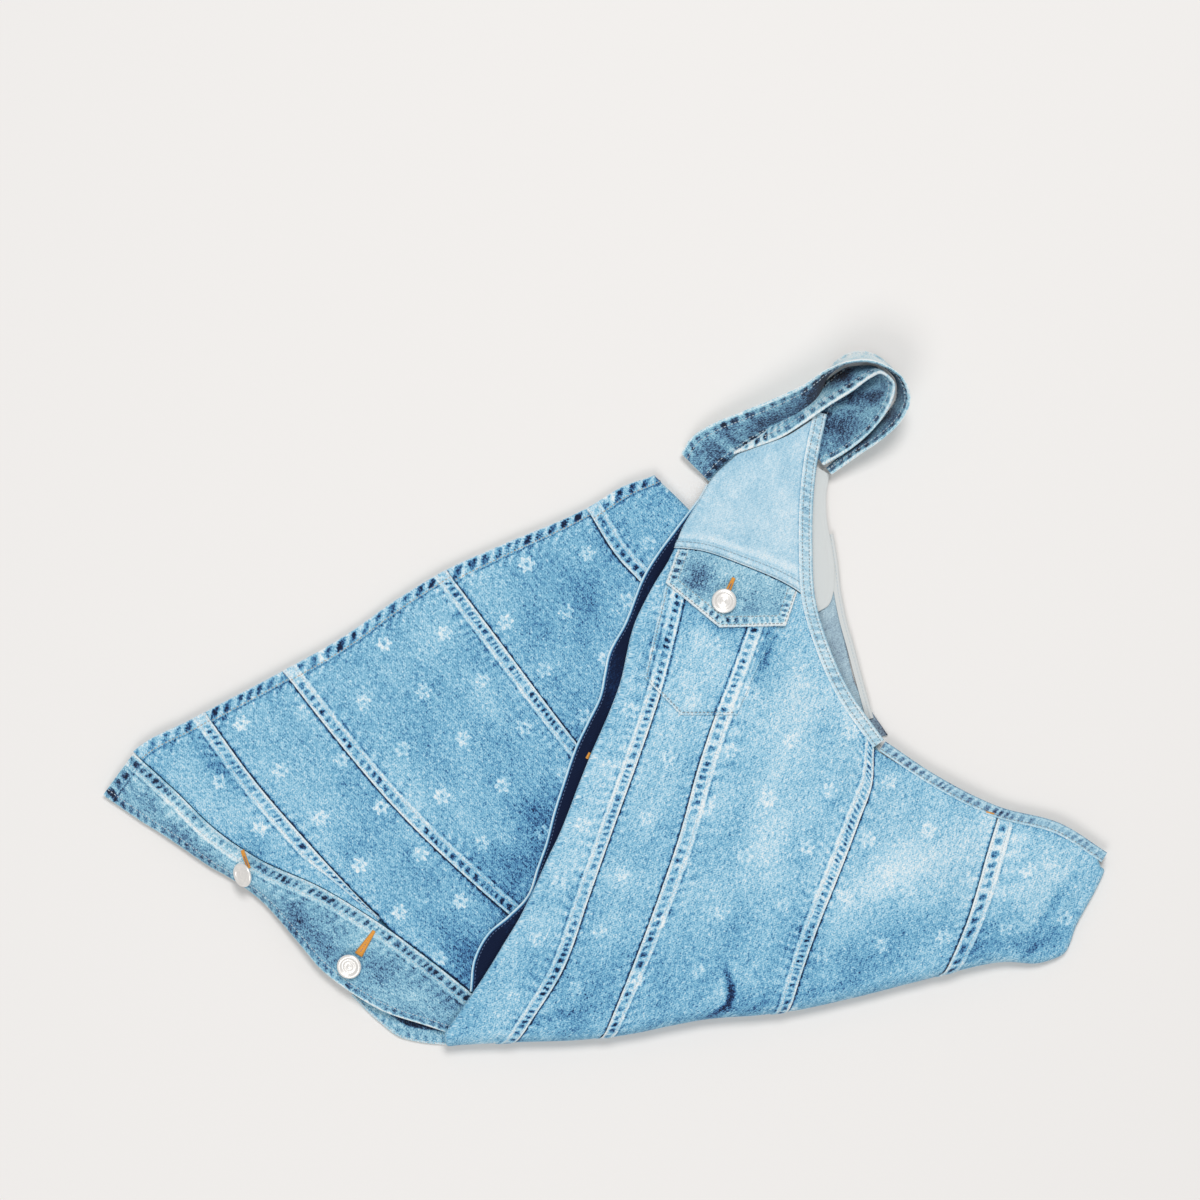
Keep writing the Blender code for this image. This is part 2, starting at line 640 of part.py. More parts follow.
def curl_front(grid, raised):
    """Turn the front edge of a grid under, as a soft fold."""
    normal = normals(grid)[:, 0]
    outward = grid[:, 0] - grid[:, 1]
    outward -= normal * (outward * normal).sum(axis=1)[:, None]
    outward /= np.linalg.norm(outward, axis=1)[:, None]
    start = grid[:, 0] - outward * FRONT_CURL
    columns = [roll(start, outward, normal, FRONT_CURL, step)[:, None]
               for step in reversed(CURL_STEPS)]
    columns += [start[:, None], grid[:, 1:]]
    marks = [raised[:, :1]] * (len(CURL_STEPS) + 1) + [raised[:, 1:]]
    return np.concatenate(columns, axis=1), np.concatenate(marks, axis=1)


def make_bodice(collection):
    curves = {name: curve(points) for name, points in BODICE_CURVES.items()}
    yoke_seam = curves["yoke_seam"]
    waist = curves["waist"]
    foot = fold_start(waist)
    arm_inner = set_in(curves["armhole"], BINDING_WIDTH, -1.0)
    back_inner = set_in(curves["back_top"], BACK_BINDING_WIDTH, -1.0)
    corner, seam_stop = crossing(arm_inner, yoke_seam)
    yoke_5 = meeting(yoke_seam, BODICE_CURVES["seam_5"][0])
    yoke_6 = meeting(yoke_seam, BODICE_CURVES["seam_6"][0])
    back_8 = meeting(back_inner, BODICE_CURVES["seam_8"][0])
    side_top = [tuple(yoke_seam(yoke_6 + (seam_stop - yoke_6) * k / 6)) for k in range(6)]
    side_top += [tuple(arm_inner(corner + (1 - corner) * k / 16)) for k in range(17)]
    side_back_top = [side_top[-1]] + [tuple(back_inner(back_8 * k / 4)) for k in range(1, 5)]
    back_end = back_inner(BACK_END)
    seams = {
        "front": curves["front_fold"],
        "seam_5": curves["seam_5"],
        "seam_6": curves["seam_6"],
        "seam_7": curve((side_top[-1],) + BODICE_CURVES["seam_7"][1:]),
        "seam_8": curve((side_back_top[-1],) + BODICE_CURVES["seam_8"][1:]),
        "back": curve((tuple(back_end), tuple(foot(1.0)))),
    }
    at_waist = {name: meeting(waist, BODICE_CURVES[name][-1])
                for name in ("seam_5", "seam_6", "seam_7", "seam_8")}
    at_waist["front"] = 0.0
    at_waist["back"] = 1.0
    panels = (
        # name, left seam, right seam, top edge, felled seams
        ("bodice_front_panel", "front", "seam_5", part_of(yoke_seam, 0.0, yoke_5), (False, True)),
        ("bodice_side_front_panel", "seam_5", "seam_6", part_of(yoke_seam, yoke_5, yoke_6), (False, False)),
        ("bodice_side_panel", "seam_6", "seam_7", cornered(side_top), (True, True)),
        ("bodice_side_back_panel", "seam_7", "seam_8", curve(side_back_top), (False, False)),
        ("bodice_back_panel", "seam_8", "back", part_of(back_inner, back_8, BACK_END), (True, False)),
    )
    for name, left, right, top, strips in panels:
        start = at_waist[left]
        stop = at_waist[right]
        grid, raised = bodice_panel(seams[left], seams[right], top, part_of(foot, start, stop),
                                    part_of(waist, start, stop), strips)
        if left == "front":
            grid, raised = curl_front(grid, raised)
        sheet(name, grid, raised, WALL, "denim", collection)
    make_yoke(curves, arm_inner, corner, seam_stop, collection)
    make_binding("armhole_binding", curves["armhole"], BINDING_WIDTH, BINDING_ROWS, collection)
    make_binding("back_top_binding", curves["back_top"], BACK_BINDING_WIDTH, BACK_BINDING_ROWS,
                 collection)


def make_yoke(curves, arm_inner, corner, seam_stop, collection):
    """The front yoke, from the neck seam down to the panels, with a stitched lower edge."""
    arm_start, neck_stop = crossing(arm_inner, curves["neck_seam"])
    left = curves["yoke_front"]
    right = part_of(arm_inner, arm_start, corner)
    top = part_of(curves["neck_seam"], 0.0, neck_stop)
    bottom = part_of(curves["yoke_seam"], 0.0, seam_stop)
    length = (left.length + right.length) / 2
    v, raised_rows = down_fractions(length, YOKE_HEM, cells_for(length))
    v = 1 - v[::-1]
    raised_rows = raised_rows[::-1]
    widths = np.linalg.norm(right(v) - left(v), axis=1)
    u, level = across_fractions(widths, False, False, YOKE_CELLS)
    v = np.repeat(v[:, None], u.shape[1], axis=1)
    plan = patch(left, right, top, bottom, u, v)
    height = bodice_height(plan[..., 0], plan[..., 1])
    grid = np.concatenate((plan, height[..., None]), axis=2)
    raised = np.maximum(raised_rows[:, None], level[None, :])
    sheet("yoke", *curl_front(grid, raised), WALL, "pale_denim", collection)


def make_binding(name, edge, width, rows, collection):
    """A bound edge: a doubled strip with a rounded outer side."""
    at = np.linspace(0.004, 0.996, rows)
    outer = edge(at)
    inner = set_in(edge, width - SEAM_GAP, -1.0)(at)
    grid = []
    for a, b in zip(outer, inner):
        row = []
        for u, drop in BINDING_SECTION:
            plan = b + (a - b) * u
            row.append((*plan, float(bodice_height(*plan)) - drop))
        grid.append(row)
    grid = np.array(grid)
    sheet(name, grid, np.zeros(grid.shape[:2]), BOUND_WALL, "pale_denim", collection)


# ----------------------------------------------------------------- far layers
def make_far_layers(collection):
    """What shows of the far half: its placket and, in the armhole, its inside."""
    rows = 2 * len(FAR_PLACKET_SECTIONS)
    fine = np.linspace(0.0, 1.0, rows)
    table = curve(FAR_PLACKET_SECTIONS)(fine)
    along = np.gradient(table[:, :2], axis=0)
    along /= np.linalg.norm(along, axis=1)[:, None]
    inward = np.stack([-along[:, 1], along[:, 0]], axis=1)
    grid = []
    for row, way in zip(table, inward):
        grid.append([(*(row[:2] + way * row[3] * u), row[2] + rise)
                     for u, rise in FAR_PLACKET_SECTION])
    grid = np.array(grid)
    sheet("far_placket", grid, np.zeros(grid.shape[:2]), WALL, "dark_denim", collection)

    armhole = curve(BODICE_CURVES["armhole"])
    under = set_in(armhole, FAR_INNER_REACH, -1.0)
    corner = meeting(armhole, FAR_YOKE_POINT)
    neck = meeting(armhole, FAR_NECK_POINT)
    stop = meeting(armhole, FAR_SIDE_POINT)
    far_strip("far_yoke", part_of(under, neck, corner), curve(FAR_YOKE_EDGE), "white_cotton", collection)
    edge = curve(FAR_BINDING_EDGE)
    panel_edge = set_in(edge, FAR_BINDING_WIDTH + SEAM_GAP, -1.0)
    far_strip("far_side_panel", part_of(under, corner + FAR_YOKE_GAP, stop), panel_edge, "dark_denim",
              collection)
    far_strip("far_armhole_binding", part_of(set_in(edge, FAR_BINDING_WIDTH, -1.0), FAR_BINDING_START, 1.0),
              part_of(edge, FAR_BINDING_START, 1.0), "white_cotton", collection)


def far_strip(name, inner, outer, finish, collection):
    """A strip of the far half between two plan curves."""
    fine = np.linspace(0.0, 1.0, STRIP_ROWS)
    start = inner(fine)
    end = outer(fine)
    grid = []
    for a, b in zip(start, end):
        grid.append([(*(a + (b - a) * u), FAR_HEIGHT - drop) for u, drop in FAR_SECTION])
    grid = np.array(grid)
    sheet(name, grid, np.zeros(grid.shape[:2]), WALL, finish, collection)


def make_under_wrap(collection):
    """The inner half, seen as a strip below the placket."""
    edge = curve(UNDER_WRAP_EDGE)
    fine = np.linspace(0.0, 1.0, STRIP_ROWS)
    outer = edge(fine)
    taper = UNDER_WRAP_TIP + (UNDER_WRAP_WIDTH - UNDER_WRAP_TIP) * smooth_step(fine * UNDER_WRAP_TAPER)
    along = edge(np.clip(fine + 0.01, 0, 1)) - edge(np.clip(fine - 0.01, 0, 1))
    along /= np.linalg.norm(along, axis=1)[:, None]
    inward = np.stack([-along[:, 1], along[:, 0]], axis=1)
    grid = []
    for a, way, width in zip(outer, inward, taper):
        grid.append([(*(a + way * width * u), UNDER_WRAP_HEIGHT - drop)
                     for u, drop in UNDER_WRAP_SECTION])
    grid = np.array(grid)
    sheet("under_wrap", grid, np.zeros(grid.shape[:2]), BOUND_WALL, "pale_denim", collection)


# --------------------------------------------------------------------- pocket
def make_pocket(collection):
    """The patch pocket and its pointed flap, laid on the panels' own points."""
    p = POCKET_CORNERS
    left = curve((p["top_left"], p["low_left"]))
    right = curve((p["top_right"], p["low_right"]))
    top = curve((p["top_left"], p["top_right"]))
    foot = curve((p["low_left"], p["point_left"], p["point_right"], p["low_right"]))
    lay_patch("chest_pocket", left, right, top, foot, POCKET_LIFT, POCKET_WALL, 0.0, collection)
    f = FLAP_CORNERS
    left = curve((f["top_left"], f["low_left"]))
    right = curve((f["top_right"], f["low_right"]))
    seam = set_in(curve(BODICE_CURVES["yoke_seam"]), FLAP_BELOW_SEAM, -1.0)
    top = part_of(seam, meeting(seam, f["top_left"]), meeting(seam, f["top_right"]))
    foot = cornered((f["low_left"], f["point"], f["low_right"]))
    flap = lay_patch("pocket_flap", left, right, top, foot, FLAP_LIFT, FLAP_WALL,
                     FLAP_LIFT - FLAP_TOP_LIFT, collection)
    for name, place in FLAP_BUTTON.items():
        make_button(name, flap, place, collection)


def cornered(points):
    """A line with corners, read by the fraction of its length."""
    knots = np.asarray(points, float)
    run = np.concatenate(([0.0], np.cumsum(np.linalg.norm(np.diff(knots, axis=0), axis=1))))

    def read(fraction):
        place = np.asarray(fraction, float) * run[-1]
        return np.stack([np.interp(place, run, knots[:, k]) for k in range(2)], axis=-1)

    read.length = run[-1]
    read.corners = run / run[-1]
    return read


def lay_patch(name, left, right, top, bottom, lift, wall, tuck, collection):
    """A flat piece laid on the bodice; tuck is how much lower its top edge starts."""
    across = np.linspace(0.0, 1.0, PATCH_COLUMNS)
    if hasattr(bottom, "corners"):
        across = np.unique(np.concatenate((across, bottom.corners)))
    u, v = np.meshgrid(across, np.linspace(0.0, 1.0, PATCH_ROWS))
    plan = patch(left, right, top, bottom, u, v)
    height = bodice_height(plan[..., 0], plan[..., 1]) + lift + wall
    height -= tuck * (1 - smooth_step(v * TUCK_SHARE))
    grid = np.concatenate((plan, height[..., None]), axis=-1)
    sheet(name, grid, np.zeros(grid.shape[:2]), wall, "denim", collection)
    return grid


# --------------------------------------------------------------------- collar
def make_loop(name, sections, bulge, finish, collection):
    """A band standing on its edge, from its base up to its rim."""
    table = curve(sections)(np.linspace(0.0, 1.0, LOOP_ROWS * (len(sections) - 1) + 1))
    rim = table[:, :3]
    base = table[:, 3:]
    along = np.gradient(rim + base, axis=0)
    side = np.cross(along, rim - base)
    side /= np.linalg.norm(side, axis=1)[:, None]
    width = np.linalg.norm(rim - base, axis=1)[:, None]
    columns = []
    for u in LOOP_ACROSS:
        bow = side * width * bulge * 2 * u * (1 - u)
        columns.append(base + (rim - base) * u + bow)
    grid = np.stack(columns, axis=1)
    normal = normals(grid)
    half = BOUND_WALL / 2
    return closed_shell(name, grid + normal * half, grid - normal * half, finish, collection)


# --------------------------------------------------------------------- button
def make_button(name, grid, place, collection):
    """A turned shank button, seated square on the cloth that carries it."""
    apart = np.linalg.norm(grid[..., :2] - np.asarray(place), axis=2)
    weight = 1 / (apart + 0.5) ** 3   # the nearest points of the cloth count most
    weight /= weight.sum()
    facing = (normals(grid) * weight[..., None]).sum(axis=(0, 1))
    facing /= np.linalg.norm(facing)
    nearest = np.unravel_index(np.argmin(apart), apart.shape)
    x, y, z = grid[nearest]
    z += facing[:2].dot(grid[nearest][:2] - np.asarray(place)) / max(facing[2], 0.3)
    x, y, z = np.array((*place, z)) + facing * BUTTON_SEAT
    profile = bpy.data.meshes.new(name)
    points = [(radius * MM, 0.0, height * MM) for radius, height in BUTTON_PROFILE]
    edges = [(k, k + 1) for k in range(len(points) - 1)]
    profile.from_pydata(points, edges, [])
    made = bpy.data.objects.new(name, profile)
    collection.objects.link(made)
    screw = made.modifiers.new("Turn", "SCREW")
    screw.steps = BUTTON_SIDES
    screw.render_steps = BUTTON_SIDES
    screw.use_merge_vertices = True
    screw.merge_threshold = 0.01 * MM
    profile.materials.append(material("metal").copy())
    profile.materials[0].name = name
    tilt = math.acos(facing[2])
    turn = math.atan2(facing[1], facing[0])
    made.rotation_mode = "XYZ"
    made.rotation_euler = (0.0, tilt, turn)
    made.location = (x * MM, y * MM, z * MM)
    return made


# -------------------------------------------------------------- hidden layers
def layered_slab(name, top, finish, collection):
    """A solid under a grid of points, with a flat foot and sides like a pile of cloth."""
    rows, columns = top.shape[:2]
    edge = [(0, c) for c in range(columns)]
    edge += [(r, columns - 1) for r in range(1, rows)]
    edge += [(rows - 1, c) for c in range(columns - 2, -1, -1)]
    edge += [(r, 0) for r in range(rows - 2, 0, -1)]
    loop = np.array([top[r, c] for r, c in edge])
    ahead = np.roll(loop[:, :2], -1, axis=0) - np.roll(loop[:, :2], 1, axis=0)
    ahead /= np.linalg.norm(ahead, axis=1)[:, None]
    outward = np.stack([-ahead[:, 1], ahead[:, 0]], axis=1)
    points = [tuple(p) for p in top.reshape(-1, 3)]
    faces = []
    for r in range(rows - 1):
        for c in range(columns - 1):
            a = r * columns + c
            faces.append((a, a + columns, a + columns + 1, a + 1))
    ring = [r * columns + c for r, c in edge]
    for out, share in LAYER_PROFILE:
        start = len(points)
        for place, way in zip(loop, outward):
            points.append((*(place[:2] + way * out), place[2] * share))
        new_ring = list(range(start, len(points)))
        for k in range(len(ring)):
            n = (k + 1) % len(ring)
            faces.append((ring[k], ring[n], new_ring[n], new_ring[k]))
        ring = new_ring
    faces.append(tuple(ring))
    return add_object(name, points, faces, finish, collection)


def make_hidden_layers(collection, cutters):
    """Two slabs under the skirt and the bodice, joined into one solid."""
    slabs = []
    for name, edges, height, cells in (
            ("skirt_layers", CORE_SKIRT, skirt_height, CORE_SKIRT_CELLS),
            ("bodice_layers", CORE_BODICE, bodice_height, CORE_BODICE_CELLS)):
        left, right, top, bottom = (curve(edges[k]) for k in ("left", "right", "top", "bottom"))
        u, v = np.meshgrid(np.linspace(0, 1, cells[0]), np.linspace(0, 1, cells[1]))
        plan = patch(left, right, top, bottom, u, v)
        z = height(plan[..., 0], plan[..., 1]) - CORE_CLEAR
        edge = np.minimum.reduce([u, 1 - u, v, 1 - v])
        z = z - CORE_EDGE_DROP * (1 - np.clip(edge * CORE_EDGE_SHARE, 0, 1)) ** 2
        grid = np.concatenate((plan, z[..., None]), axis=2)
        slabs.append(layered_slab(name, grid, "dark_denim", collection))
    whole, other = slabs
    other.hide_render = True
    other.display_type = "WIRE"
    collection.objects.unlink(other)
    cutters.objects.link(other)
    union = whole.modifiers.new("Join", "BOOLEAN")
    union.operation = "UNION"
    union.object = other
    whole.name = "hidden_layers"


# ----------------------------------------------------------------------- main
for old in list(bpy.data.objects):
    bpy.data.objects.remove(old, do_unlink=True)
dress = bpy.data.collections.new("halter_denim_dress")
bpy.context.scene.collection.children.link(dress)
cutters = bpy.data.collections.new("cutters")
bpy.context.scene.collection.children.link(cutters)

make_skirt(dress)
make_placket(dress)
make_bodice(dress)
make_pocket(dress)
make_far_layers(dress)
make_under_wrap(dress)
make_loop("collar_stand", STAND_SECTIONS, STAND_BULGE, "denim", dress)
make_loop("collar_leaf", LEAF_SECTIONS, LEAF_BULGE, "denim", dress)
make_hidden_layers(dress, cutters)
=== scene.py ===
"""A halter denim dress, stone washed, laid on its side and folded once at the waist."""
import math

import bpy
import numpy as np
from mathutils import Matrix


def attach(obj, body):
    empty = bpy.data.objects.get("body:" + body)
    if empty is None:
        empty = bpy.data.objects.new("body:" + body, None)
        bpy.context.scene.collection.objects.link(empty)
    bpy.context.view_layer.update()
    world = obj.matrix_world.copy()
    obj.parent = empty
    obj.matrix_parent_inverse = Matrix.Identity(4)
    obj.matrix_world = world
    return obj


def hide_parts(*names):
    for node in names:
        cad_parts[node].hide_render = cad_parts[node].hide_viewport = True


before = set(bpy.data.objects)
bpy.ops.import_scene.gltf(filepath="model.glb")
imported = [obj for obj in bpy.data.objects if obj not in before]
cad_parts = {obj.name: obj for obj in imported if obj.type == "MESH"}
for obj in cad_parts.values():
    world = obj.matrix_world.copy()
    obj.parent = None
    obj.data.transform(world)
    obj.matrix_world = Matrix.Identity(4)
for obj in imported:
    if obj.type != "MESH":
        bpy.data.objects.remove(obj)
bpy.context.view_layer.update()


# ------------------------------------------------------------------ table and light
# The dress lies on a plain white table under large soft lamps, with the camera straight
# above it. Lengths in this file are millimetres in plan, x right and y up; MM makes metres.
MM = 0.001
VIEW_CENTRE = (-3.75, 74.25)      # what the middle of the frame looks down on
VIEW_WIDTH = 900.0                # width of table in the frame
CAMERA_HEIGHT = 2600.0
TABLE_SIZE = 9000.0
TABLE_COLOUR = (0.83, 0.808, 0.785)
ROOM_COLOUR = (0.98, 0.985, 1.0)
ROOM_STRENGTH = 0.42
SENSOR_WIDTH = 36.0

scene = bpy.context.scene
scene.view_settings.view_transform = "Standard"


def new_finish(name, sockets):
    """A new material whose shader has plain values in some sockets, and that shader."""
    made = bpy.data.materials.new(name)
    made.use_nodes = True
    shader = made.node_tree.nodes["Principled BSDF"]
    for socket, value in sockets.items():
        shader.inputs[socket].default_value = value
    return made, shader


def put(name, points, faces, finish):
    """A new object in the scene, from points in millimetres and faces."""
    mesh = bpy.data.meshes.new(name)
    mesh.from_pydata((np.asarray(points, float) * MM).tolist(), [], faces)
    mesh.shade_smooth()
    mesh.materials.append(finish)
    made = bpy.data.objects.new(name, mesh)
    scene.collection.objects.link(made)
    return made


table_finish, _ = new_finish("matt_white_table", {
    "Base Color": (*TABLE_COLOUR, 1.0), "Roughness": 0.9, "Specular IOR Level": 0.1})
half = TABLE_SIZE / 2
put("table_top", [(-half, -half, 0), (half, -half, 0), (half, half, 0), (-half, half, 0)],
             [(0, 1, 2, 3)], table_finish)

LAMPS = (
    # name, place in metres, size in metres, watts: each is aimed at the origin
    ("overhead_softbox", (0.3, 1.6, 3.5), 1.3, 73.0),
    ("low_softbox", (-0.6, -1.9, 2.6), 1.8, 30.0),
)
for name, place, size, watts in LAMPS:
    lamp_data = bpy.data.lights.new(name, "AREA")
    lamp_data.shape = "DISK"
    lamp_data.size = size
    lamp_data.energy = watts
    lamp = bpy.data.objects.new(name, lamp_data)
    lamp.location = place
    away = np.array(place) / np.linalg.norm(place)
    lamp.rotation_euler = (math.acos(away[2]), 0.0, math.atan2(away[1], away[0]) + math.pi / 2)
    scene.collection.objects.link(lamp)

world = bpy.data.worlds.new("pale_room")
world.use_nodes = True
background = world.node_tree.nodes["Background"]
background.inputs["Color"].default_value = (*ROOM_COLOUR, 1.0)
background.inputs["Strength"].default_value = ROOM_STRENGTH
scene.world = world

camera_data = bpy.data.cameras.new("camera_above")
camera_data.sensor_width = SENSOR_WIDTH
camera_data.lens = SENSOR_WIDTH * CAMERA_HEIGHT / VIEW_WIDTH
camera = bpy.data.objects.new("camera_above", camera_data)
camera.location = (VIEW_CENTRE[0] * MM, VIEW_CENTRE[1] * MM, CAMERA_HEIGHT * MM)
scene.collection.objects.link(camera)
scene.camera = camera


# ------------------------------------------------------------------ skirt panels
# Five long panels of light denim show on the upper side of the skirt. They are joined
# by felled seams sewn with two rows, turned up 9 mm at the hem, and washed after sewing.
SKIRT_CURVES = {
    "hem": ((-376, -72), (-352, -38), (-308, -14), (-240, 22), (-199, 45), (-154, 76),
            (-119, 97), (-79, 115), (-14, 143), (15, 160), (36, 167)),
    "placket_seam": ((-352, -40), (-320, -69), (-290, -98), (-259, -119), (-211, -141),
                     (-170, -166), (-124, -200), (-94, -224)),
    "seam_1": ((-298, -12), (-262, -61), (-222, -107), (-184, -148), (-168, -164)),
    "seam_2": ((-241, 21), (-206, -24), (-154, -85), (-94, -142), (-52, -178)),
    "seam_3": ((-119, 97), (-79, 44), (-34, -16), (-2, -57)),
    "seam_4": ((-14, 143), (11, 104), (26, 88), (48, 58)),
    "back_fold": ((36, 167), (47, 157), (62, 143), (90, 116)),
}
SKIRT_HEIGHT = 7.8
SKIRT_SWELLS = (
    # x, y, length, width, degrees, rise
    (-290, -70, 60, 30, -40, 2.4), (-235, -98, 60, 26, -32, 2.2), (-150, -150, 60, 30, -40, 1.6),
    (-200, -30, 90, 26, -48, 1.2), (-100, 10, 100, 30, -50, 1.4), (-20, 60, 60, 26, -52, 1.0),
    (-60, -100, 60, 40, -45, 1.0),
)
WALL = 1.6
SEAM_GAP = 0.5
RIDGE = 0.8                       # how far a felled seam stands up
FELL_WIDTH = 11.0
FELL_MOST = 0.46                  # a felled seam takes at most this share of a narrow panel
HEM_WIDTH = 9.0
LEAST_WIDTH = 3.0
BACK_CURL = 3.4
BACK_CURL_STEPS = (20, 40, 60, 80, 100, 120, 150)
HEM_RUN = 1.15                    # length of the slanting hem for each step of x
NEAR_SEAM = (0.25, 0.5, 0.8, 1.2, 1.7, 2.3, 3.0, 3.8, 4.6, 5.4, 6.2, 7.0, 7.8, 8.6, 9.3, 9.9,
             10.4, 10.8, 11.2, 11.8, 12.8)
ROW_STEP = 1.35
COLUMN_STEP = 1.8
INNER_STRIDE = 6                  # the inside of a wall has one point for this many outside
INNER_TONE = 0.82
SEAM_ROWS = (1.7, 8.4)            # the two rows of sewing, from the crisp edge
HEM_ROW = 8.0
RIM_ANGLE = 60.0                  # edges sharper than this many degrees are kept crisp
SOFT_SEAM_SHARE = 0.35            # the placket seam's painted shadow line and puckers are weakened to this share


def curve(points):
    """A smooth curve through points, read by the fraction of its length."""
    knots = np.asarray(points, float)
    steps = np.linalg.norm(np.diff(knots, axis=0), axis=1)
    chord = np.concatenate(([0.0], np.cumsum(steps)))
    slope = np.gradient(knots, chord, axis=0)
    fine = np.linspace(0.0, chord[-1], 40 * len(knots))
    at = np.clip(np.searchsorted(chord, fine, side="right") - 1, 0, len(chord) - 2)
    span = (chord[at + 1] - chord[at])[:, None]
    t = (fine - chord[at])[:, None] / span
    path = knots[at] * (2 * t**3 - 3 * t**2 + 1) + slope[at] * span * (t**3 - 2 * t**2 + t)
    path += knots[at + 1] * (3 * t**2 - 2 * t**3) + slope[at + 1] * span * (t**3 - t**2)
    return along(path)


def along(path):
    """A line of points, read by the fraction of its length."""
    run = np.concatenate(([0.0], np.cumsum(np.linalg.norm(np.diff(path, axis=0), axis=1))))

    def read(fraction):
        place = np.asarray(fraction, float) * run[-1]
        return np.stack([np.interp(place, run, path[:, k]) for k in range(path.shape[1])], axis=-1)

    read.length = run[-1]
    return read


def part_of(whole, start, end):
    """The stretch of a curve between two fractions of its length."""
    def read(fraction):
        return whole(start + (end - start) * np.asarray(fraction, float))

    read.length = abs(end - start) * whole.length
    return read


def meeting(whole, point):
    """The fraction of a curve's length that lies nearest to a point."""
    at = np.linspace(0.0, 1.0, 2001)
    return float(at[np.argmin(np.linalg.norm(whole(at) - np.asarray(point, float), axis=1))])


def patch(left, right, top, bottom, u, v):
    """Plan points between four edge curves; u runs across and v runs down."""
    a = u[..., None]
    b = v[..., None]
    sides = (1 - a) * left(v) + a * right(v)
    ends = (1 - b) * top(u) + b * bottom(u)
    upper = (1 - a) * left(0.0) + a * right(0.0)
    lower = (1 - a) * left(1.0) + a * right(1.0)
    return sides + ends - (1 - b) * upper - b * lower


def unit(vectors):
    """The same vectors with length one."""
    return vectors / np.maximum(np.linalg.norm(vectors, axis=-1)[..., None], 1e-9)


def left_of(path):
    """Unit directions square to a line of plan points, to its left."""
    ahead = unit(np.gradient(path, axis=0))
    return np.stack([-ahead[:, 1], ahead[:, 0]], axis=1)


def spread(values, columns):
    """A row of values, each repeated across its row of a grid."""
    return np.repeat(values[:, None], columns, axis=1)


def piece_of(plan, z, **distances):
    """A piece: its points, its place on the cloth and its distances from some edges."""
    return {"point": np.concatenate((plan, z[..., None]), axis=2), "cloth": plan, **distances}


def raised(piece, height):
    """The points of a piece, moved off its surface by a height."""
    return piece["point"] + normals(piece["point"]) * height[..., None]


def smooth_step(t):
    t = np.clip(t, 0.0, 1.0)
    return t * t * (3 - 2 * t)


def bell(t, width):
    return np.exp(-(t / width) ** 2)


def band_of(t, middle, half_width, power):
    """A band with soft edges: 1 about its middle and 0 beyond."""
    return np.exp(-((t - middle) / half_width) ** power)


def needle_lines(t, rows, width=0.5):
    """Where rows of sewing pull the cloth down."""
    return sum(bell(t - row, width) for row in rows)


def plan_of(piece):
    """The x and the y of each point of a piece on the cloth."""
    return piece["cloth"][..., 0], piece["cloth"][..., 1]


def turned(x, y, degrees):
    """Plan coordinates along and across a direction, given by its angle to x."""
    c = math.cos(math.radians(degrees))
    s = math.sin(math.radians(degrees))
    return x * c + y * s, y * c - x * s


def swell(table, x, y):
    """Sum of soft rounded patches, each turned to its own angle."""
    total = np.zeros(np.shape(x))
    for centre_x, centre_y, length, width, degrees, rise in table:
        lengthwise, crosswise = turned(x - centre_x, y - centre_y, degrees)
        total = total + rise * bell(lengthwise, length) * bell(crosswise, width)
    return total


def grain(x, y, size, seed):
    """Smooth unevenness of the cloth, 0 to 1, with patches of the given size."""
    values = np.random.default_rng(seed).random((64, 64))
    gx, gy = np.broadcast_arrays(np.asarray(x, float) / size, np.asarray(y, float) / size)
    i = np.floor(gx).astype(int)
    j = np.floor(gy).astype(int)
    fx = smooth_step(gx - i)
    fy = smooth_step(gy - j)
    low = values[i % 64, j % 64] * (1 - fx) + values[(i + 1) % 64, j % 64] * fx
    high = values[i % 64, (j + 1) % 64] * (1 - fx) + values[(i + 1) % 64, (j + 1) % 64] * fx
    return low * (1 - fy) + high * fy


def uneven(x, y, size, seed):
    """The same unevenness about zero."""
    return grain(x, y, size, seed) - 0.5


def normals(grid):
    """Unit normals of a grid of points, up when u runs right and v runs down."""
    return unit(np.cross(np.gradient(grid, axis=0), np.gradient(grid, axis=1)))


def skirt_height(x, y):
    return SKIRT_HEIGHT + swell(SKIRT_SWELLS, x, y)


def undulation(x, y, seed):
    """How far loose cloth stands off its smooth form: long soft waves and short ones."""
    return 1.5 * uneven(x, y, 42, seed) + 0.5 * uneven(x, y, 17, seed + 1)


def steps_down(length, fine_top):
    """Distances from the top edge of a panel: close at a hem, then even."""
    start = [d for d in NEAR_SEAM if d < HEM_WIDTH + 2] if fine_top else [NEAR_SEAM[0]]
    count = max(2, int(round((length - start[-1]) / ROW_STEP)))
    return np.array(start + [start[-1] + (length - SEAM_GAP / 2 - start[-1]) * k / count
                             for k in range(1, count + 1)])


def columns_across(widths):
    """Fractions across a panel, row by row: close at its seams and wider between."""
    pinch = np.minimum(1.0, FELL_MOST * widths / NEAR_SEAM[-1])
    near = np.array(NEAR_SEAM)[None, :] * (pinch / widths)[:, None]
    middle = max(3, int((widths.max() - 2 * NEAR_SEAM[-1]) / COLUMN_STEP))
    share = (np.arange(1, middle) / middle)[None, :]
    between = near[:, -1:] + (1 - 2 * near[:, -1:]) * share
    return np.concatenate((near, between, 1 - near[:, ::-1]), axis=1), pinch


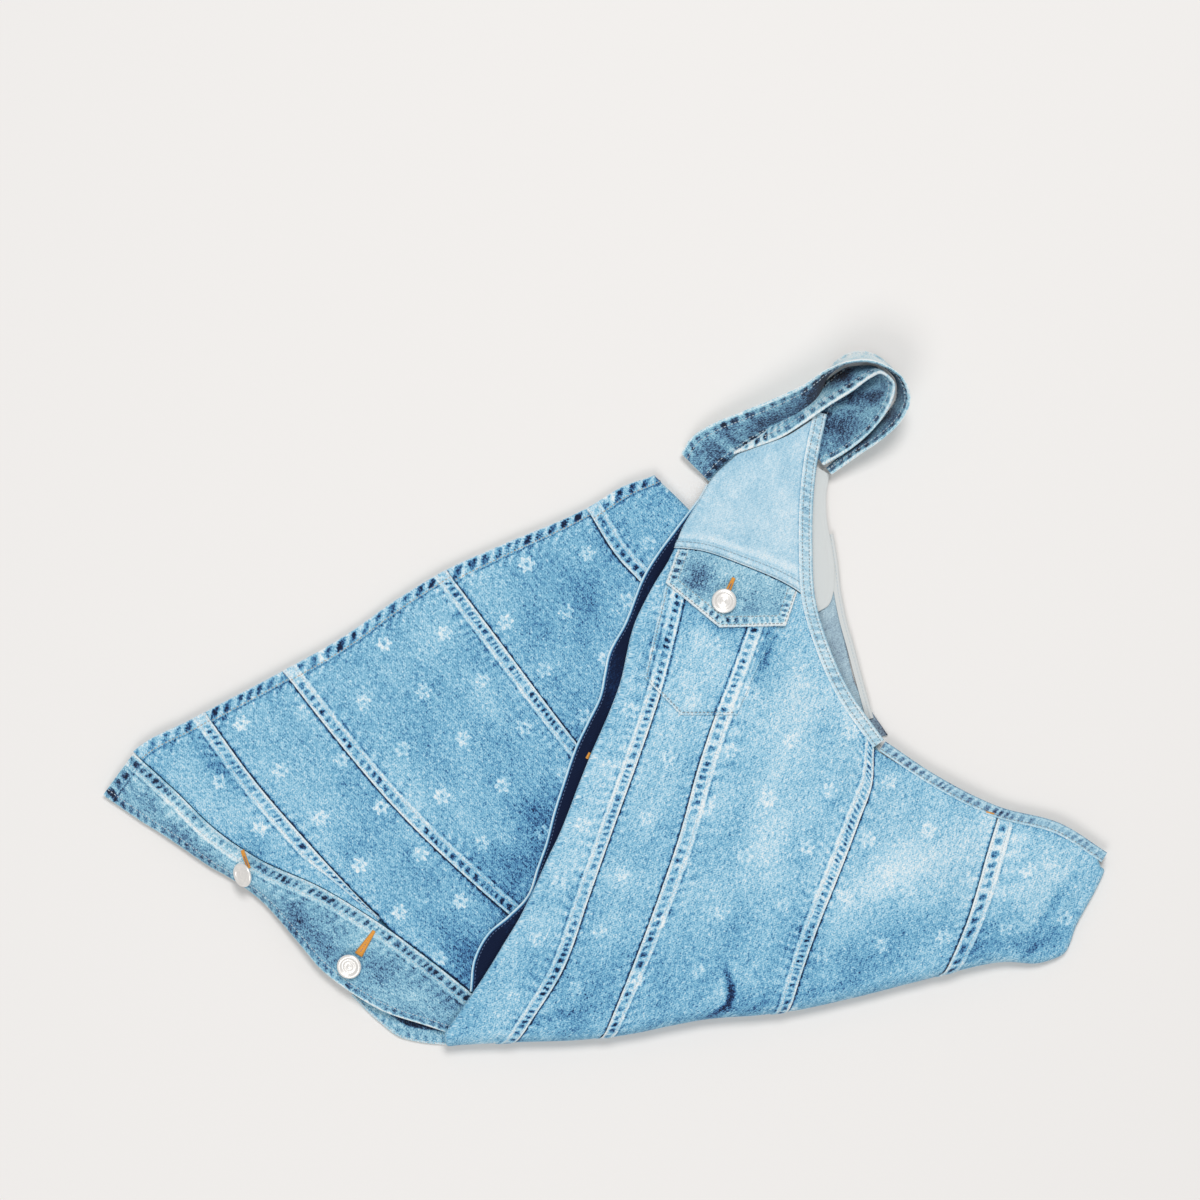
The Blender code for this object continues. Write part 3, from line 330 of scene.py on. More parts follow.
def lay_panel(left, right, top, bottom, height, fine_top=False, down=None):
    """A dense grid between four edges, with the distance of each point from each edge."""
    length = (left.length + right.length) / 2
    if down is None:
        down = steps_down(length, fine_top)
    v = down / length
    widths = np.maximum(np.linalg.norm(right(v) - left(v), axis=1), LEAST_WIDTH)
    u, pinch = columns_across(widths)
    v = spread(v, u.shape[1])
    plan = patch(left, right, top, bottom, u, v)
    scale = (widths / pinch)[:, None]
    return piece_of(plan, height(plan[..., 0], plan[..., 1]),
                    left=u * scale, right=(1 - u) * scale, down=v * length)


def turn_side(panel, radius, degrees, first=False):
    """Fold the first or last column of a panel under, round a soft edge."""
    near, next_in = (0, 1) if first else (-1, -2)
    up = normals(panel["point"])[:, near]
    outward = panel["point"][:, near] - panel["point"][:, next_in]
    outward = unit(outward - up * (outward * up).sum(axis=1)[:, None])
    start = panel["point"][:, near] - outward * radius
    inside = ((panel["point"] - start[:, None]) * outward[:, None]).sum(axis=2) < 0
    flat = {key: value[:, inside.all(axis=0)] for key, value in panel.items()}
    steps = np.radians(degrees)
    added = {key: [value[:, near]] * len(steps) for key, value in flat.items()}
    added["point"] = [start + outward * radius * math.sin(step) - up * radius * (1 - math.cos(step))
                      for step in steps]
    added["cloth"] = [flat["cloth"][:, near] + outward[:, :2] * radius * step for step in steps]
    if first:
        return {key: np.concatenate((np.stack(added[key][::-1], 1), flat[key]), axis=1) for key in flat}
    return {key: np.concatenate((flat[key], np.stack(added[key], 1)), axis=1) for key in flat}


# The marks of washing and the painted shadow lines below are sums of bells and bands. Each has its
# place and width in millimetres from the edge of the seam, and its strength in tone or in millimetres.
def puckers(run, across, period, slant, seed):
    """Ripples that washing sets along a seam: -1 in the dark hollows, 1 on the pale ridges."""
    place = run + slant * across
    drift = period * 1.6 * grain(place, across * 0.5, 3.1 * period, seed)
    strength = 0.35 + 0.9 * grain(place, across, 2.3 * period, seed + 7)
    return np.clip(np.sin(2 * math.pi * (place + drift) / period) * strength, -1, 1)


def blocks(run, across, period, slant, seed):
    """Separate dark hollows along a seam, 0 to 1, uneven in place, length and depth."""
    place = run + slant * across
    drift = period * 1.1 * grain(place, 0, 2.9 * period, seed)
    wave = np.cos(2 * math.pi * (place + drift) / period)
    wave = wave + 0.5 * grain(place, across * 0.3, period, seed + 2)
    depth = 0.40 + 0.85 * grain(place, 0, 1.7 * period, seed + 4)
    return smooth_step((wave + 0.12) * 1.9) * np.clip(depth, 0, 1)


def felled_seam(t, run, seed):
    """Height and tone of a felled seam; t is the distance from its crisp edge."""
    on_strip = smooth_step((FELL_WIDTH + 0.5 - t) / 0.9)
    dark = blocks(run, t, 5.4, 0.2, seed) * (0.55 + 0.8 * grain(run, t, 2.2, seed + 9))
    middle = band_of(t, 5.0, 2.4, 6)
    beyond = smooth_step((t - FELL_WIDTH) / 1.5) * bell(t - FELL_WIDTH, 9.0)
    soft = puckers(run, t, 8.5, 0.3, seed + 31)
    height = RIDGE * on_strip - 0.5 * bell(t, 0.45) - 0.30 * needle_lines(t, SEAM_ROWS)
    height += -0.34 * dark * middle + 0.24 * soft * beyond
    tone = -0.58 * dark * middle + 0.14 * on_strip + 0.13 * soft * beyond
    tone += 0.32 * bell(t - 1.0, 1.0) * (0.6 + 0.4 * grain(run, 0, 3.0, seed + 3))
    tone += 0.17 * bell(t - 9.4, 1.4) * (0.4 + 0.6 * grain(run, 0, 4.0, seed + 5))
    # a painted shadow line where the strip steps down onto the panel
    tone -= 0.34 * bell(t - FELL_WIDTH - 0.5, 0.9) * grain(run, 0, 5.0, seed + 6)
    return height, tone


def under_seam(t, run, seed):
    """Height and tone of the flat panel that a seam's crisp edge lies on: soft puckers, and a painted
    shadow line along that edge.
    """
    soft = puckers(run, t, 7.5, -0.3, seed)
    near = bell(t, 7.0)
    return 0.18 * soft * near - 0.15 * bell(t, 0.8), 0.12 * soft * near - 0.52 * bell(t, 1.25)


def hem_marks(t, run, seed):
    """Height and tone of the turned hem, with broad uneven puckers."""
    dark = blocks(run, t, 11.0, 0.3, seed) * (0.45 + 0.95 * grain(run, t, 2.8, seed + 8))
    band = band_of(t, 4.4, 3.5, 6)
    on_hem = smooth_step((HEM_WIDTH + 0.5 - t) / 0.9)
    height = RIDGE * on_hem - 0.7 * bell(t, 0.4) - 0.42 * dark * band - 0.3 * bell(t - HEM_ROW, 0.5)
    tone = -0.66 * dark * band + 0.15 * on_hem
    # a pale line at the turned edge, and a painted shadow line where the hem steps down onto the panel
    tone += 0.12 * bell(t - 0.6, 0.9) - 0.26 * bell(t - HEM_WIDTH - 0.4, 0.8)
    fall = blocks(run, t, 9.0, 0.5, seed + 5)
    tone += (0.15 - 0.34 * fall) * bell(t - HEM_WIDTH, 7.0) * smooth_step((t - HEM_WIDTH) / 2)
    return height, tone


def wall(name, outer, tone, cloth, finish, thickness=WALL,
         inner=None, inner_tone=INNER_TONE, stride=INNER_STRIDE):
    """A closed wall of cloth: a dense outside, an inside with fewer points, and a rim."""
    rows, columns = outer.shape[:2]
    pick_r = sorted(set(range(0, rows, stride)) | {rows - 1})
    pick_c = sorted(set(range(0, columns, stride)) | {columns - 1})
    if inner is None:
        inner = outer - normals(outer) * thickness
    inner = inner[np.ix_(pick_r, pick_c)]
    back = np.broadcast_to(inner_tone, tone.shape)[np.ix_(pick_r, pick_c)]
    count = rows * columns
    wide = len(pick_c)
    r, c = np.meshgrid(np.arange(rows - 1), np.arange(columns - 1), indexing="ij")
    corner = r * columns + c
    quads = np.stack([corner, corner + columns, corner + columns + 1, corner + 1], -1)
    faces = quads.reshape(-1, 4).tolist()
    for i in range(len(pick_r) - 1):
        for j in range(wide - 1):
            a = count + i * wide + j
            faces.append((a, a + 1, a + wide + 1, a + wide))
    for i, (a, b) in enumerate(zip(pick_r, pick_r[1:])):
        low = count + i * wide
        faces.append([q * columns for q in range(b, a - 1, -1)] + [low, low + wide])
        high = low + wide - 1
        faces.append([q * columns + columns - 1 for q in range(a, b + 1)] + [high + wide, high])
    last = (rows - 1) * columns
    for j, (a, b) in enumerate(zip(pick_c, pick_c[1:])):
        low = count + j
        faces.append(list(range(a, b + 1)) + [low + 1, low])
        high = count + (len(pick_r) - 1) * wide + j
        faces.append([last + q for q in range(b, a - 1, -1)] + [high, high + 1])
    made = put(name, np.concatenate((outer.reshape(-1, 3), inner.reshape(-1, 3))), faces, finish)
    mesh = made.data
    mesh.set_sharp_from_angle(angle=math.radians(RIM_ANGLE))
    shade = mesh.attributes.new("tone", "FLOAT", "POINT")
    shade.data.foreach_set("value", np.concatenate((tone.reshape(-1), back.reshape(-1))).astype(np.float32))
    place = np.concatenate((cloth.reshape(-1, 2), cloth[np.ix_(pick_r, pick_c)].reshape(-1, 2))) * MM
    corners = np.zeros(len(mesh.loops), dtype=np.int32)
    mesh.loops.foreach_get("vertex_index", corners)
    layer = mesh.uv_layers.new(name="cloth")
    layer.data.foreach_set("uv", place[corners].astype(np.float32).reshape(-1))
    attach(made, "root")
    return made


def turned_cloth(panel, degrees):
    """Place on the cloth, with the warp running at an angle to x."""
    return np.stack(turned(*plan_of(panel), degrees), axis=-1)


def sewn_sheet(node, outer, tone, piece, warp, finish, thickness=WALL, slot="denim",
               rests_on="hidden_layers", **inside):
    """The cloth that stands for one node of the frame; the node's own part is hidden."""
    made = wall(node + "_cloth", outer, tone, turned_cloth(piece, warp), finish, thickness, **inside)
    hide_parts(node)


DENIM_TONES = (
    # tone, colour
    (0.00, (0.004, 0.010, 0.036)), (0.14, (0.014, 0.050, 0.150)), (0.26, (0.050, 0.165, 0.350)),
    (0.38, (0.105, 0.315, 0.505)), (0.50, (0.180, 0.435, 0.615)), (0.64, (0.325, 0.585, 0.735)),
    (0.80, (0.530, 0.720, 0.820)), (1.00, (0.820, 0.865, 0.865)),
)


CLOTH_NOISES = {
    # name: scale across the warp, scale along it, detail, shift, strength
    "warp_slubs": (320, 1000, 1.0, 0.0, 0.54), "weft_slubs": (1000, 440, 1.0, 4.0, 0.46),
    "specks": (880, 880, 1.0, 7.0, 0.46), "mottle": (160, 310, 2.0, 9.0, 0.42),
    "clouds": (18, 38, 2.0, 2.0, 0.30),
}
TWILL_STEP = 0.0023               # metres from one twill line to the next
TWILL_STRENGTH = 0.035
BUMP_DEPTH = 0.0006


def denim(name, print_strength, flecks=1.0, colourful=1.0, hue=0.5, sheen=0.12):
    """Washed denim: twill, slubs and clouds about the tone sewn into each point."""
    made, shader = new_finish(name, {"Roughness": 0.85, "Specular IOR Level": 0.15,
                                     "Sheen Weight": sheen, "Sheen Roughness": 0.6})
    tree = made.node_tree

    def node(kind, inputs=(), **values):
        """A new node with its values, and with some inputs set or linked."""
        new = tree.nodes.new(kind)
        for key, value in values.items():
            setattr(new, key, value)
        for key, value in dict(inputs).items():
            if isinstance(value, bpy.types.NodeSocket):
                tree.links.new(value, new.inputs[key])
            else:
                new.inputs[key].default_value = value
        return new

    def maths(operation, *values):
        return node("ShaderNodeMath", enumerate(values), operation=operation).outputs[0]

    uv = node("ShaderNodeUVMap", uv_map="cloth").outputs[0]
    noises = {}
    for key, (scale_x, scale_y, detail, shift, _) in CLOTH_NOISES.items():
        place = node("ShaderNodeMapping", {"Scale": (scale_x, scale_y, 1.0), "Vector": uv,
                                           "Location": (shift, shift * 1.7, shift * 0.3)})
        spots = node("ShaderNodeTexNoise", {"Scale": 1.0, "Detail": detail, "Roughness": 0.6,
                                            "Vector": place.outputs[0]}, noise_dimensions="2D")
        noises[key] = maths("SUBTRACT", spots.outputs[0], 0.5)
    x, y = node("ShaderNodeSeparateXYZ", {0: uv}).outputs[:2]
    twill = maths("SINE", maths("MULTIPLY", maths("ADD", x, y), 2 * math.pi / TWILL_STEP))
    base = node("ShaderNodeAttribute", attribute_name="tone").outputs["Fac"]
    for key, row in CLOTH_NOISES.items():
        strength = row[-1] if key == "clouds" else row[-1] * flecks
        base = maths("ADD", base, maths("MULTIPLY", noises[key], strength))
    base = maths("ADD", base, maths("MULTIPLY", twill, TWILL_STRENGTH * flecks))
    if print_strength:
        base = maths("ADD", base, blossom_print(node, maths, x, y, noises["mottle"], print_strength))
    ramp = node("ShaderNodeValToRGB", {0: base})
    while len(ramp.color_ramp.elements) < len(DENIM_TONES):
        ramp.color_ramp.elements.new(0.5)
    for element, (at, colour) in zip(ramp.color_ramp.elements, DENIM_TONES):
        element.position = at
        element.color = (*colour, 1.0)
    tint = node("ShaderNodeHueSaturation", {"Saturation": colourful, "Hue": hue, "Color": ramp.outputs[0]})
    tree.links.new(tint.outputs[0], shader.inputs["Base Color"])
    slubs = maths("ADD", noises["warp_slubs"], noises["weft_slubs"])
    relief = maths("ADD", slubs, maths("MULTIPLY", twill, 0.25))
    bump = node("ShaderNodeBump", {"Strength": 0.55, "Distance": BUMP_DEPTH, "Height": relief})
    tree.links.new(bump.outputs[0], shader.inputs["Normal"])
    return made


PRINT_ACROSS = 0.046              # the blossoms stand this far apart, in metres
PRINT_DOWN = 0.040
BLOSSOM_RADIUS = 0.0072
PETAL_EDGE = 0.0009
EYE_RADIUS = 0.0013
EYE_EDGE = 0.0005


def blossom_print(node, maths, x, y, mottle, strength):
    """A faded print of small six-petalled blossoms, each row set half a step on."""
    row = maths("FLOOR", maths("DIVIDE", y, PRINT_DOWN))
    odd_row = maths("ABSOLUTE", maths("MODULO", row, 2.0))
    shifted = maths("ADD", x, maths("MULTIPLY", odd_row, PRINT_ACROSS / 2))
    column = maths("FLOOR", maths("DIVIDE", shifted, PRINT_ACROSS))
    dx = maths("SUBTRACT", shifted, maths("MULTIPLY", maths("ADD", column, 0.5), PRINT_ACROSS))
    dy = maths("SUBTRACT", y, maths("MULTIPLY", maths("ADD", row, 0.5), PRINT_DOWN))
    angle = maths("ARCTAN2", dy, dx)
    radius = maths("POWER", maths("ADD", maths("MULTIPLY", dx, dx), maths("MULTIPLY", dy, dy)), 0.5)
    petals = maths("MULTIPLY", maths("COSINE", maths("MULTIPLY", angle, 6.0)), 0.17)
    reach = maths("MULTIPLY", maths("ADD", petals, 0.80), BLOSSOM_RADIUS)
    edge = maths("DIVIDE", maths("SUBTRACT", reach, radius), PETAL_EDGE)
    eye = maths("DIVIDE", maths("SUBTRACT", radius, EYE_RADIUS), EYE_EDGE)
    blossom = node("ShaderNodeClamp", {0: maths("MINIMUM", edge, eye)}).outputs[0]
    cell = node("ShaderNodeCombineXYZ", {0: column, 1: row}).outputs[0]
    worn = node("ShaderNodeTexWhiteNoise", {"Vector": cell}, noise_dimensions="2D").outputs["Value"]
    fade = maths("ADD", maths("MULTIPLY", worn, 0.7), 0.4)
    broken = maths("ADD", maths("MULTIPLY", mottle, 1.2), 0.85)
    return maths("MULTIPLY", maths("MULTIPLY", maths("MULTIPLY", blossom, fade), broken), strength)


STITCH_LENGTH = 2.1
STITCH_GAP = 0.75
STITCH_SIDES = 5
STITCH_RINGS = (
    # place along the stitch, share of its radius, how far it stands up
    (-0.5, 0.25, -0.20), (-0.30, 1.0, 0.15), (0.30, 1.0, 0.15), (0.5, 0.25, -0.20),
)


def tube_faces(base, rings, sides):
    """The faces between rings of points that follow one another."""
    faces = []
    for ring in range(rings - 1):
        low = base + ring * sides
        for k in range(sides):
            after = (k + 1) % sides
            faces.append((low + k, low + after, low + after + sides, low + k + sides))
    return faces


def stitches(name, lines, finish, radius=0.34, whole=False):
    """Rows of sewing: each stitch is a short thread sunk at both ends, or a whole line is one."""
    points = []
    faces = []
    corners = [2 * math.pi * k / STITCH_SIDES for k in range(STITCH_SIDES)]
    for path, up in lines:
        read = along(np.concatenate((path, up), axis=1) * np.array([1, 1, 1, 0.001, 0.001, 0.001]))
        count = 1 if whole else int(read.length / (STITCH_LENGTH + STITCH_GAP))
        length = read.length if whole else STITCH_LENGTH
        middle = (np.arange(count) + 0.5) / count
        spot = read(middle)
        near = read(np.clip(middle + 0.3 / count, 0, 1)) - read(np.clip(middle - 0.3 / count, 0, 1))
        ahead = unit(near[:, :3])
        lift = unit(spot[:, 3:])
        for centre, way, high, wide in zip(spot[:, :3], ahead, lift, np.cross(ahead, lift)):
            base = len(points)
            for place, size, rise in STITCH_RINGS:
                heart = centre + way * place * length + high * rise
                points += [heart + (wide * math.cos(a) + high * math.sin(a) * 0.8) * radius * size
                           for a in corners]
            faces += tube_faces(base, len(STITCH_RINGS), STITCH_SIDES)
            faces.append(tuple(base + k for k in reversed(range(STITCH_SIDES))))
            faces.append(tuple(len(points) - STITCH_SIDES + k for k in range(STITCH_SIDES)))
    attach(put(name, points, faces, finish), "root")


def line_on(outer, distance, value, across=True):
    """The line on a surface where a distance from its edge has one value, with normals."""
    both = np.concatenate((outer, normals(outer)), axis=2)
    if not across:
        both, distance = np.swapaxes(both, 0, 1), distance.T
    if distance[0, 0] > distance[0, -1]:
        both, distance = both[:, ::-1], distance[:, ::-1]
    line = np.array([[np.interp(value, d, row[:, k]) for k in range(6)] for d, row in zip(distance, both)])
    return line[:, :3], line[:, 3:]


def speckled(name, low, high, scale, span, sockets, detail=2.0):
    """A finish whose colour goes from one to another in small spots."""
    made, shader = new_finish(name, sockets)
    tree = made.node_tree
    spots = tree.nodes.new("ShaderNodeTexNoise")
    spots.inputs["Scale"].default_value = scale
    spots.inputs["Detail"].default_value = detail
    ramp = tree.nodes.new("ShaderNodeValToRGB")
    for element, at, colour in zip(ramp.color_ramp.elements, span, (low, high)):
        element.position = at
        element.color = (*colour, 1.0)
    tree.links.new(spots.outputs[0], ramp.inputs[0])
    tree.links.new(ramp.outputs[0], shader.inputs["Base Color"])
    return made


def thread(name, colour):
    """Cotton thread, spotted darker in the turns of its twist as painted shade."""
    return speckled(name, [c * 0.72 for c in colour], colour, 900.0, (0.3, 0.7),
                    {"Roughness": 0.6, "Specular IOR Level": 0.25})


skirt_denim = denim("washed_skirt_denim", 0.34)
placket_denim = denim("washed_placket_denim", 0.0, 1.0, 0.88, 0.492)
pale_thread = thread("pale_blue_thread", (0.62, 0.72, 0.78))
grey_thread = thread("grey_thread", (0.36, 0.40, 0.43))
indigo_thread = thread("indigo_thread", (0.10, 0.16, 0.30))
tan_thread = thread("faded_tan_thread", (0.55, 0.42, 0.33))

SKIRT_TONE = 0.525
# Soft patches of lighter and darker tone: wash fades, and painted shadow on the skirt beside the bodice's
# front fold and under the far placket's edge.
SKIRT_FADES_AND_SHADOWS = (
    # x, y, length, width, degrees, tone
    (-300, -50, 50, 26, -40, 0.04), (-255, -100, 60, 12, -32, 0.07), (-50, -130, 50, 40, -40, -0.06),
    (-2, -40, 90, 22, 60, -0.16), (-64, -150, 60, 20, 60, -0.14), (-40, 0, 50, 30, -50, -0.05),
    (20, 120, 40, 30, 0, -0.03), (-180, 10, 80, 20, 28, 0.03), (-110, 30, 90, 14, -50, 0.05),
    (-230, -60, 90, 12, -48, 0.04), (-30, 85, 44, 30, -50, -0.05), (-146, -74, 34, 18, -48, 0.09),
    (-68, 22, 46, 8, -52, 0.08), (-46, -84, 22, 13, 40, -0.12), (-84, -116, 36, 9, -20, -0.10),
    (-100, -190, 34, 16, -40, -0.14), (-190, -8, 40, 22, -40, 0.04), (-286, -52, 16, 10, -50, -0.08),
    (-5, 128, 30, 18, -30, -0.07), (-140, -130, 60, 18, -35, -0.05), (-12, 70, 40, 12, 70, -0.08),
    (-70, 38, 20, 16, -50, 0.08), (-296, -46, 24, 9, -50, -0.08), (-318, -30, 9, 8, 0, -0.12),
    (-110, -60, 34, 12, -48, 0.05),
)
SKIRT_WARP = -50.0                # degrees from x

skirt_lines = {name: curve(points) for name, points in SKIRT_CURVES.items()}
skirt_order = ("placket_seam", "seam_1", "seam_2", "seam_3", "seam_4", "back_fold")
skirt_at_hem = {name: meeting(skirt_lines["hem"], SKIRT_CURVES[name][0]) for name in skirt_order}
placket_line = skirt_lines["placket_seam"]
front_end = meeting(placket_line, SKIRT_CURVES["seam_1"][-1])
seam_sewing = []
hem_sewing = []
SKIRT_PANELS = (
    # name, felled seam on its left, on its right
    ("skirt_front_panel", False, True), ("skirt_side_front_panel", False, False),
    ("skirt_side_panel", True, True), ("skirt_side_back_panel", False, False),
    ("skirt_back_panel", True, False),
)
for number, (name, fell_left, fell_right) in enumerate(SKIRT_PANELS):
    left = skirt_lines[skirt_order[number]]
    right = skirt_lines[skirt_order[number + 1]]
    if name == "skirt_front_panel":
        left = part_of(placket_line, 0.0, front_end)
    if name == "skirt_side_front_panel":
        beyond = part_of(placket_line, front_end, 1.0)
        left = curve([tuple(left(k / 6)) for k in range(7)]
                     + [tuple(beyond(k)) for k in (0.12, 0.4, 0.7, 1.0)])
    hem_start, hem_stop = (skirt_at_hem[seam] for seam in skirt_order[number:number + 2])
    top = part_of(skirt_lines["hem"], hem_start, hem_stop)
    panel = lay_panel(left, right, top, curve((tuple(left(1.0)), tuple(right(1.0)))), skirt_height, True)
    if name == "skirt_back_panel":
        panel = turn_side(panel, BACK_CURL, BACK_CURL_STEPS)
    x, y = plan_of(panel)
    height, tone = hem_marks(panel["down"], x * HEM_RUN, 40)
    below_hem = smooth_step((panel["down"] - HEM_WIDTH) / 2)
    fells = [side for side, felled in (("left", fell_left), ("right", fell_right)) if felled]
    over_hem = np.zeros(tone.shape)
    for side in fells:
        on_fell = smooth_step(FELL_WIDTH + 0.5 - panel[side])
        over_hem = np.maximum(over_hem, on_fell * (1 - below_hem))
    tone = tone * (1 - over_hem) + 0.24 * over_hem
    for side, seed in (("left", 100 + number), ("right", 101 + number)):
        if name == "skirt_back_panel" and side == "right":
            continue
        felled = side in fells
        rise, shade = (felled_seam if felled else under_seam)(panel[side], panel["down"], 10 * seed)
        if skirt_order[number] == "placket_seam" and side == "left":
            shade = shade * SOFT_SEAM_SHARE
        height = np.maximum(height, rise) if felled else height + rise * below_hem
        tone = tone + shade * (0.35 + 0.65 * below_hem)
    tone = tone + SKIRT_TONE + swell(SKIRT_FADES_AND_SHADOWS, x, y) + 0.10 * uneven(x, y, 26, 5)
    outer = raised(panel, height + undulation(x, y, 6))
    sewn_sheet(name, outer, tone, panel, SKIRT_WARP, skirt_denim)
    seam_sewing += [line_on(outer, panel[side], row) for side in fells for row in SEAM_ROWS]
    hem_sewing.append(line_on(outer, panel["down"], HEM_ROW, across=False))
stitches("skirt_seam_stitches", seam_sewing, pale_thread)
stitches("skirt_hem_stitches", hem_sewing, tan_thread)


# ------------------------------------------------------------------ skirt placket
# The button side of the skirt's front edge: a doubled strip 40 mm wide, sewn on both
# sides, which turns down along the table and lifts in a soft roll towards the waist.
PLACKET_SECTIONS = (
    # edge x, edge y, edge z, crest z, how far across the crest is
    (-376, -72, 5.0, 8.6, 0.5), (-352, -89, 5.2, 10.0, 0.5), (-322, -108, 5.5, 12.0, 0.5),
    (-296, -126, 6.0, 13.8, 0.55), (-275, -138, 5.6, 15.4, 0.6), (-256, -153, 6.5, 15.6, 0.62),
    (-232, -179, 10.0, 15.4, 0.6), (-212, -202, 12.6, 15.2, 0.55), (-190, -219, 13.0, 14.6, 0.5),
    (-164, -234, 12.4, 13.6, 0.5), (-137, -243, 11.2, 12.4, 0.5), (-116, -250, 10.0, 11.0, 0.5),
)
PLACKET_WARP = -38.0
PLACKET_WORN_FROM = 190.0         # the edge is worn pale from here down to the waist
PLACKET_WORN_RISE = 60.0
BOUND_WALL = 2.4
PLACKET_TONE = 0.42
PLACKET_FADES = (
    # x, y, length, width, degrees, tone
    (-330, -76, 50, 5, -40, 0.14), (-300, -96, 40, 4, -36, 0.10), (-262, -128, 70, 8, -36, 0.12),
    (-200, -190, 50, 12, -40, -0.06), (-150, -222, 50, 8, -20, 0.08), (-318, -100, 30, 5, -36, -0.10),
    (-225, -165, 24, 6, -60, -0.10), (-180, -176, 60, 5, -36, 0.10), (-328, -60, 9, 5, -50, -0.22),
    (-300, -88, 9, 5, -30, -0.20), (-258, -124, 10, 5, -60, -0.16), (-165, -200, 14, 10, -36, -0.12),
    (-116, -232, 18, 10, -36, -0.12), (-276, -108, 12, 4, -30, -0.14), (-236, -140, 12, 4, -40, -0.12),
)


def by_fraction(path, length):
    """A line of points evenly spaced in fraction, with a length that it is given."""
    at = np.linspace(0.0, 1.0, len(path))

    def read(fraction):
        return np.stack([np.interp(fraction, at, path[:, k]) for k in range(path.shape[1])], axis=-1)

    read.length = length
    return read


def set_in(whole, distance, side=1.0):
    """A plan curve moved to its left (side 1) or its right (side -1)."""
    path = whole(np.linspace(0.0, 1.0, 60))
    return by_fraction(path + side * distance * left_of(path), whole.length)


def edge_marks(t, run, seed):
    """Height and tone of a sewn, turned edge of doubled cloth."""
    dark = blocks(run, t, 7.0, 0.5, seed)
    band = band_of(t, 3.6, 2.6, 4)
    height = -0.3 * dark * band - 0.8 * bell(t, 0.5) - 0.28 * bell(t - 6.0, 0.5)
    tone = -0.28 * dark * band + 0.06 * band + 0.24 * bell(t - 0.5, 0.8)
    return height, tone


placket_seam = set_in(placket_line, SEAM_GAP / 2, -1.0)
placket_down = np.linspace(0.0, 1.0, int(placket_seam.length / ROW_STEP))
section_at = np.linspace(0.0, 1.0, len(PLACKET_SECTIONS))
edge_z, crest_z, crest_at = (
    np.interp(placket_down, section_at, column)[:, None] for column in list(zip(*PLACKET_SECTIONS))[2:])
placket_edge = curve(PLACKET_SECTIONS)(placket_down)[:, :2]
inner_line = placket_seam(placket_down)
inner_z = skirt_height(inner_line[:, 0], inner_line[:, 1])[:, None]
widths = np.linalg.norm(placket_edge - inner_line, axis=1)
u, pinch = columns_across(widths)
bend = 2 * u * (1 - u)
lean = u + (crest_at - 0.5) * bend**2
plan = inner_line[:, None] + (placket_edge - inner_line)[:, None] * lean[..., None]
z = inner_z * (1 - u) + edge_z * u + (crest_z - (inner_z + edge_z) / 2) * 2 * bend
scale = (widths / pinch)[:, None]
placket = piece_of(plan, z, left=(1 - u) * scale, right=u * scale,
                   down=spread(placket_down * placket_seam.length, u.shape[1]))
placket = {key: value[:, ::-1] for key, value in placket.items()}
height, tone = edge_marks(placket["left"], placket["down"], 301)
rise, shade = felled_seam(placket["right"], placket["down"], 302)
hem_rise, hem_shade = hem_marks(placket["down"], placket["left"], 303)
x, y = plan_of(placket)
on_hem = placket["down"] < HEM_WIDTH + 3
height = height + rise * 0.7 + np.where(on_hem, hem_rise * 0.6, 0) + 0.5 * uneven(x, y, 12, 8)
tone = tone + shade * 0.9 + hem_shade + PLACKET_TONE
tone = tone + swell(PLACKET_FADES, x, y) + 0.16 * uneven(x, y, 13, 9)
worn = smooth_step((placket["down"] - PLACKET_WORN_FROM) / PLACKET_WORN_RISE)
tone = tone + 0.34 * worn * bell(placket["left"] - 0.9, 1.1)
placket_outer = raised(placket, height)
sewn_sheet("skirt_placket", placket_outer, tone, placket, PLACKET_WARP, placket_denim, BOUND_WALL)
stitches("placket_stitches", [line_on(placket_outer, placket["left"], 6.0)]
         + [line_on(placket_outer, placket["right"], row) for row in SEAM_ROWS], pale_thread)


# ------------------------------------------------------------------ bodice panels
# The near half of the bodice, folded back over the skirt. Its five panels run down to
# the waist fold and round it, and the front edge is a soft fold.
BODICE_CURVES = {
    "front_fold": ((52, 113), (32, 82), (18, 42), (15, 20), (5, -1), (-7, -27), (-14, -48), (-23, -78),
                   (-41, -112), (-54, -143), (-76, -181), (-98, -220), (-106, -239), (-119, -250)),
    "yoke_front": ((98, 183), (80, 166), (71, 151), (56, 125), (52, 113)),
    "seam_5": ((67, 112), (58, 71), (43, 10), (23, -50), (-2, -119), (-13, -151), (-23, -182), (-37, -213),
               (-52, -238), (-70, -256)),
    "seam_6": ((121, 94), (96, 26), (76, -27), (56, -98), (30, -173), (-2, -253)),
    "seam_7": ((208, -35), (203, -52), (197, -69), (189.5, -90), (180, -115), (169, -143), (158.5, -169),
               (149.5, -194), (141, -221), (137, -232)),
    "seam_8": ((294, -87), (286, -112), (278, -139), (269, -166), (259, -189), (250, -206)),
    "yoke_seam": ((52, 113), (71, 111), (101, 101), (139, 84), (158, 71)),
    "neck_seam": ((98, 183), (116, 189.5), (137, 197.5), (151, 206.5), (166, 217)),
    "armhole": ((166, 214), (158, 173), (155, 115), (158, 71), (164, 50), (182, 8), (209, -31)),
    "back_top": ((209, -31), (248, -57), (294, -80), (341, -93), (376, -115)),
    "waist": ((-119, -259), (-78, -257), (-2, -253), (71, -240), (137, -233), (198, -220), (250, -206),
              (297, -197), (328, -197), (343, -191), (354, -168), (370, -138), (375, -127)),
}
UNDER_EDGE_START = (62, 141)
UNDER_EDGE_END = (341, -192)
STEP_START = -12.0
STEP_END = 62.0
BODICE_LOW = 9.2
BODICE_HIGH = 21.5
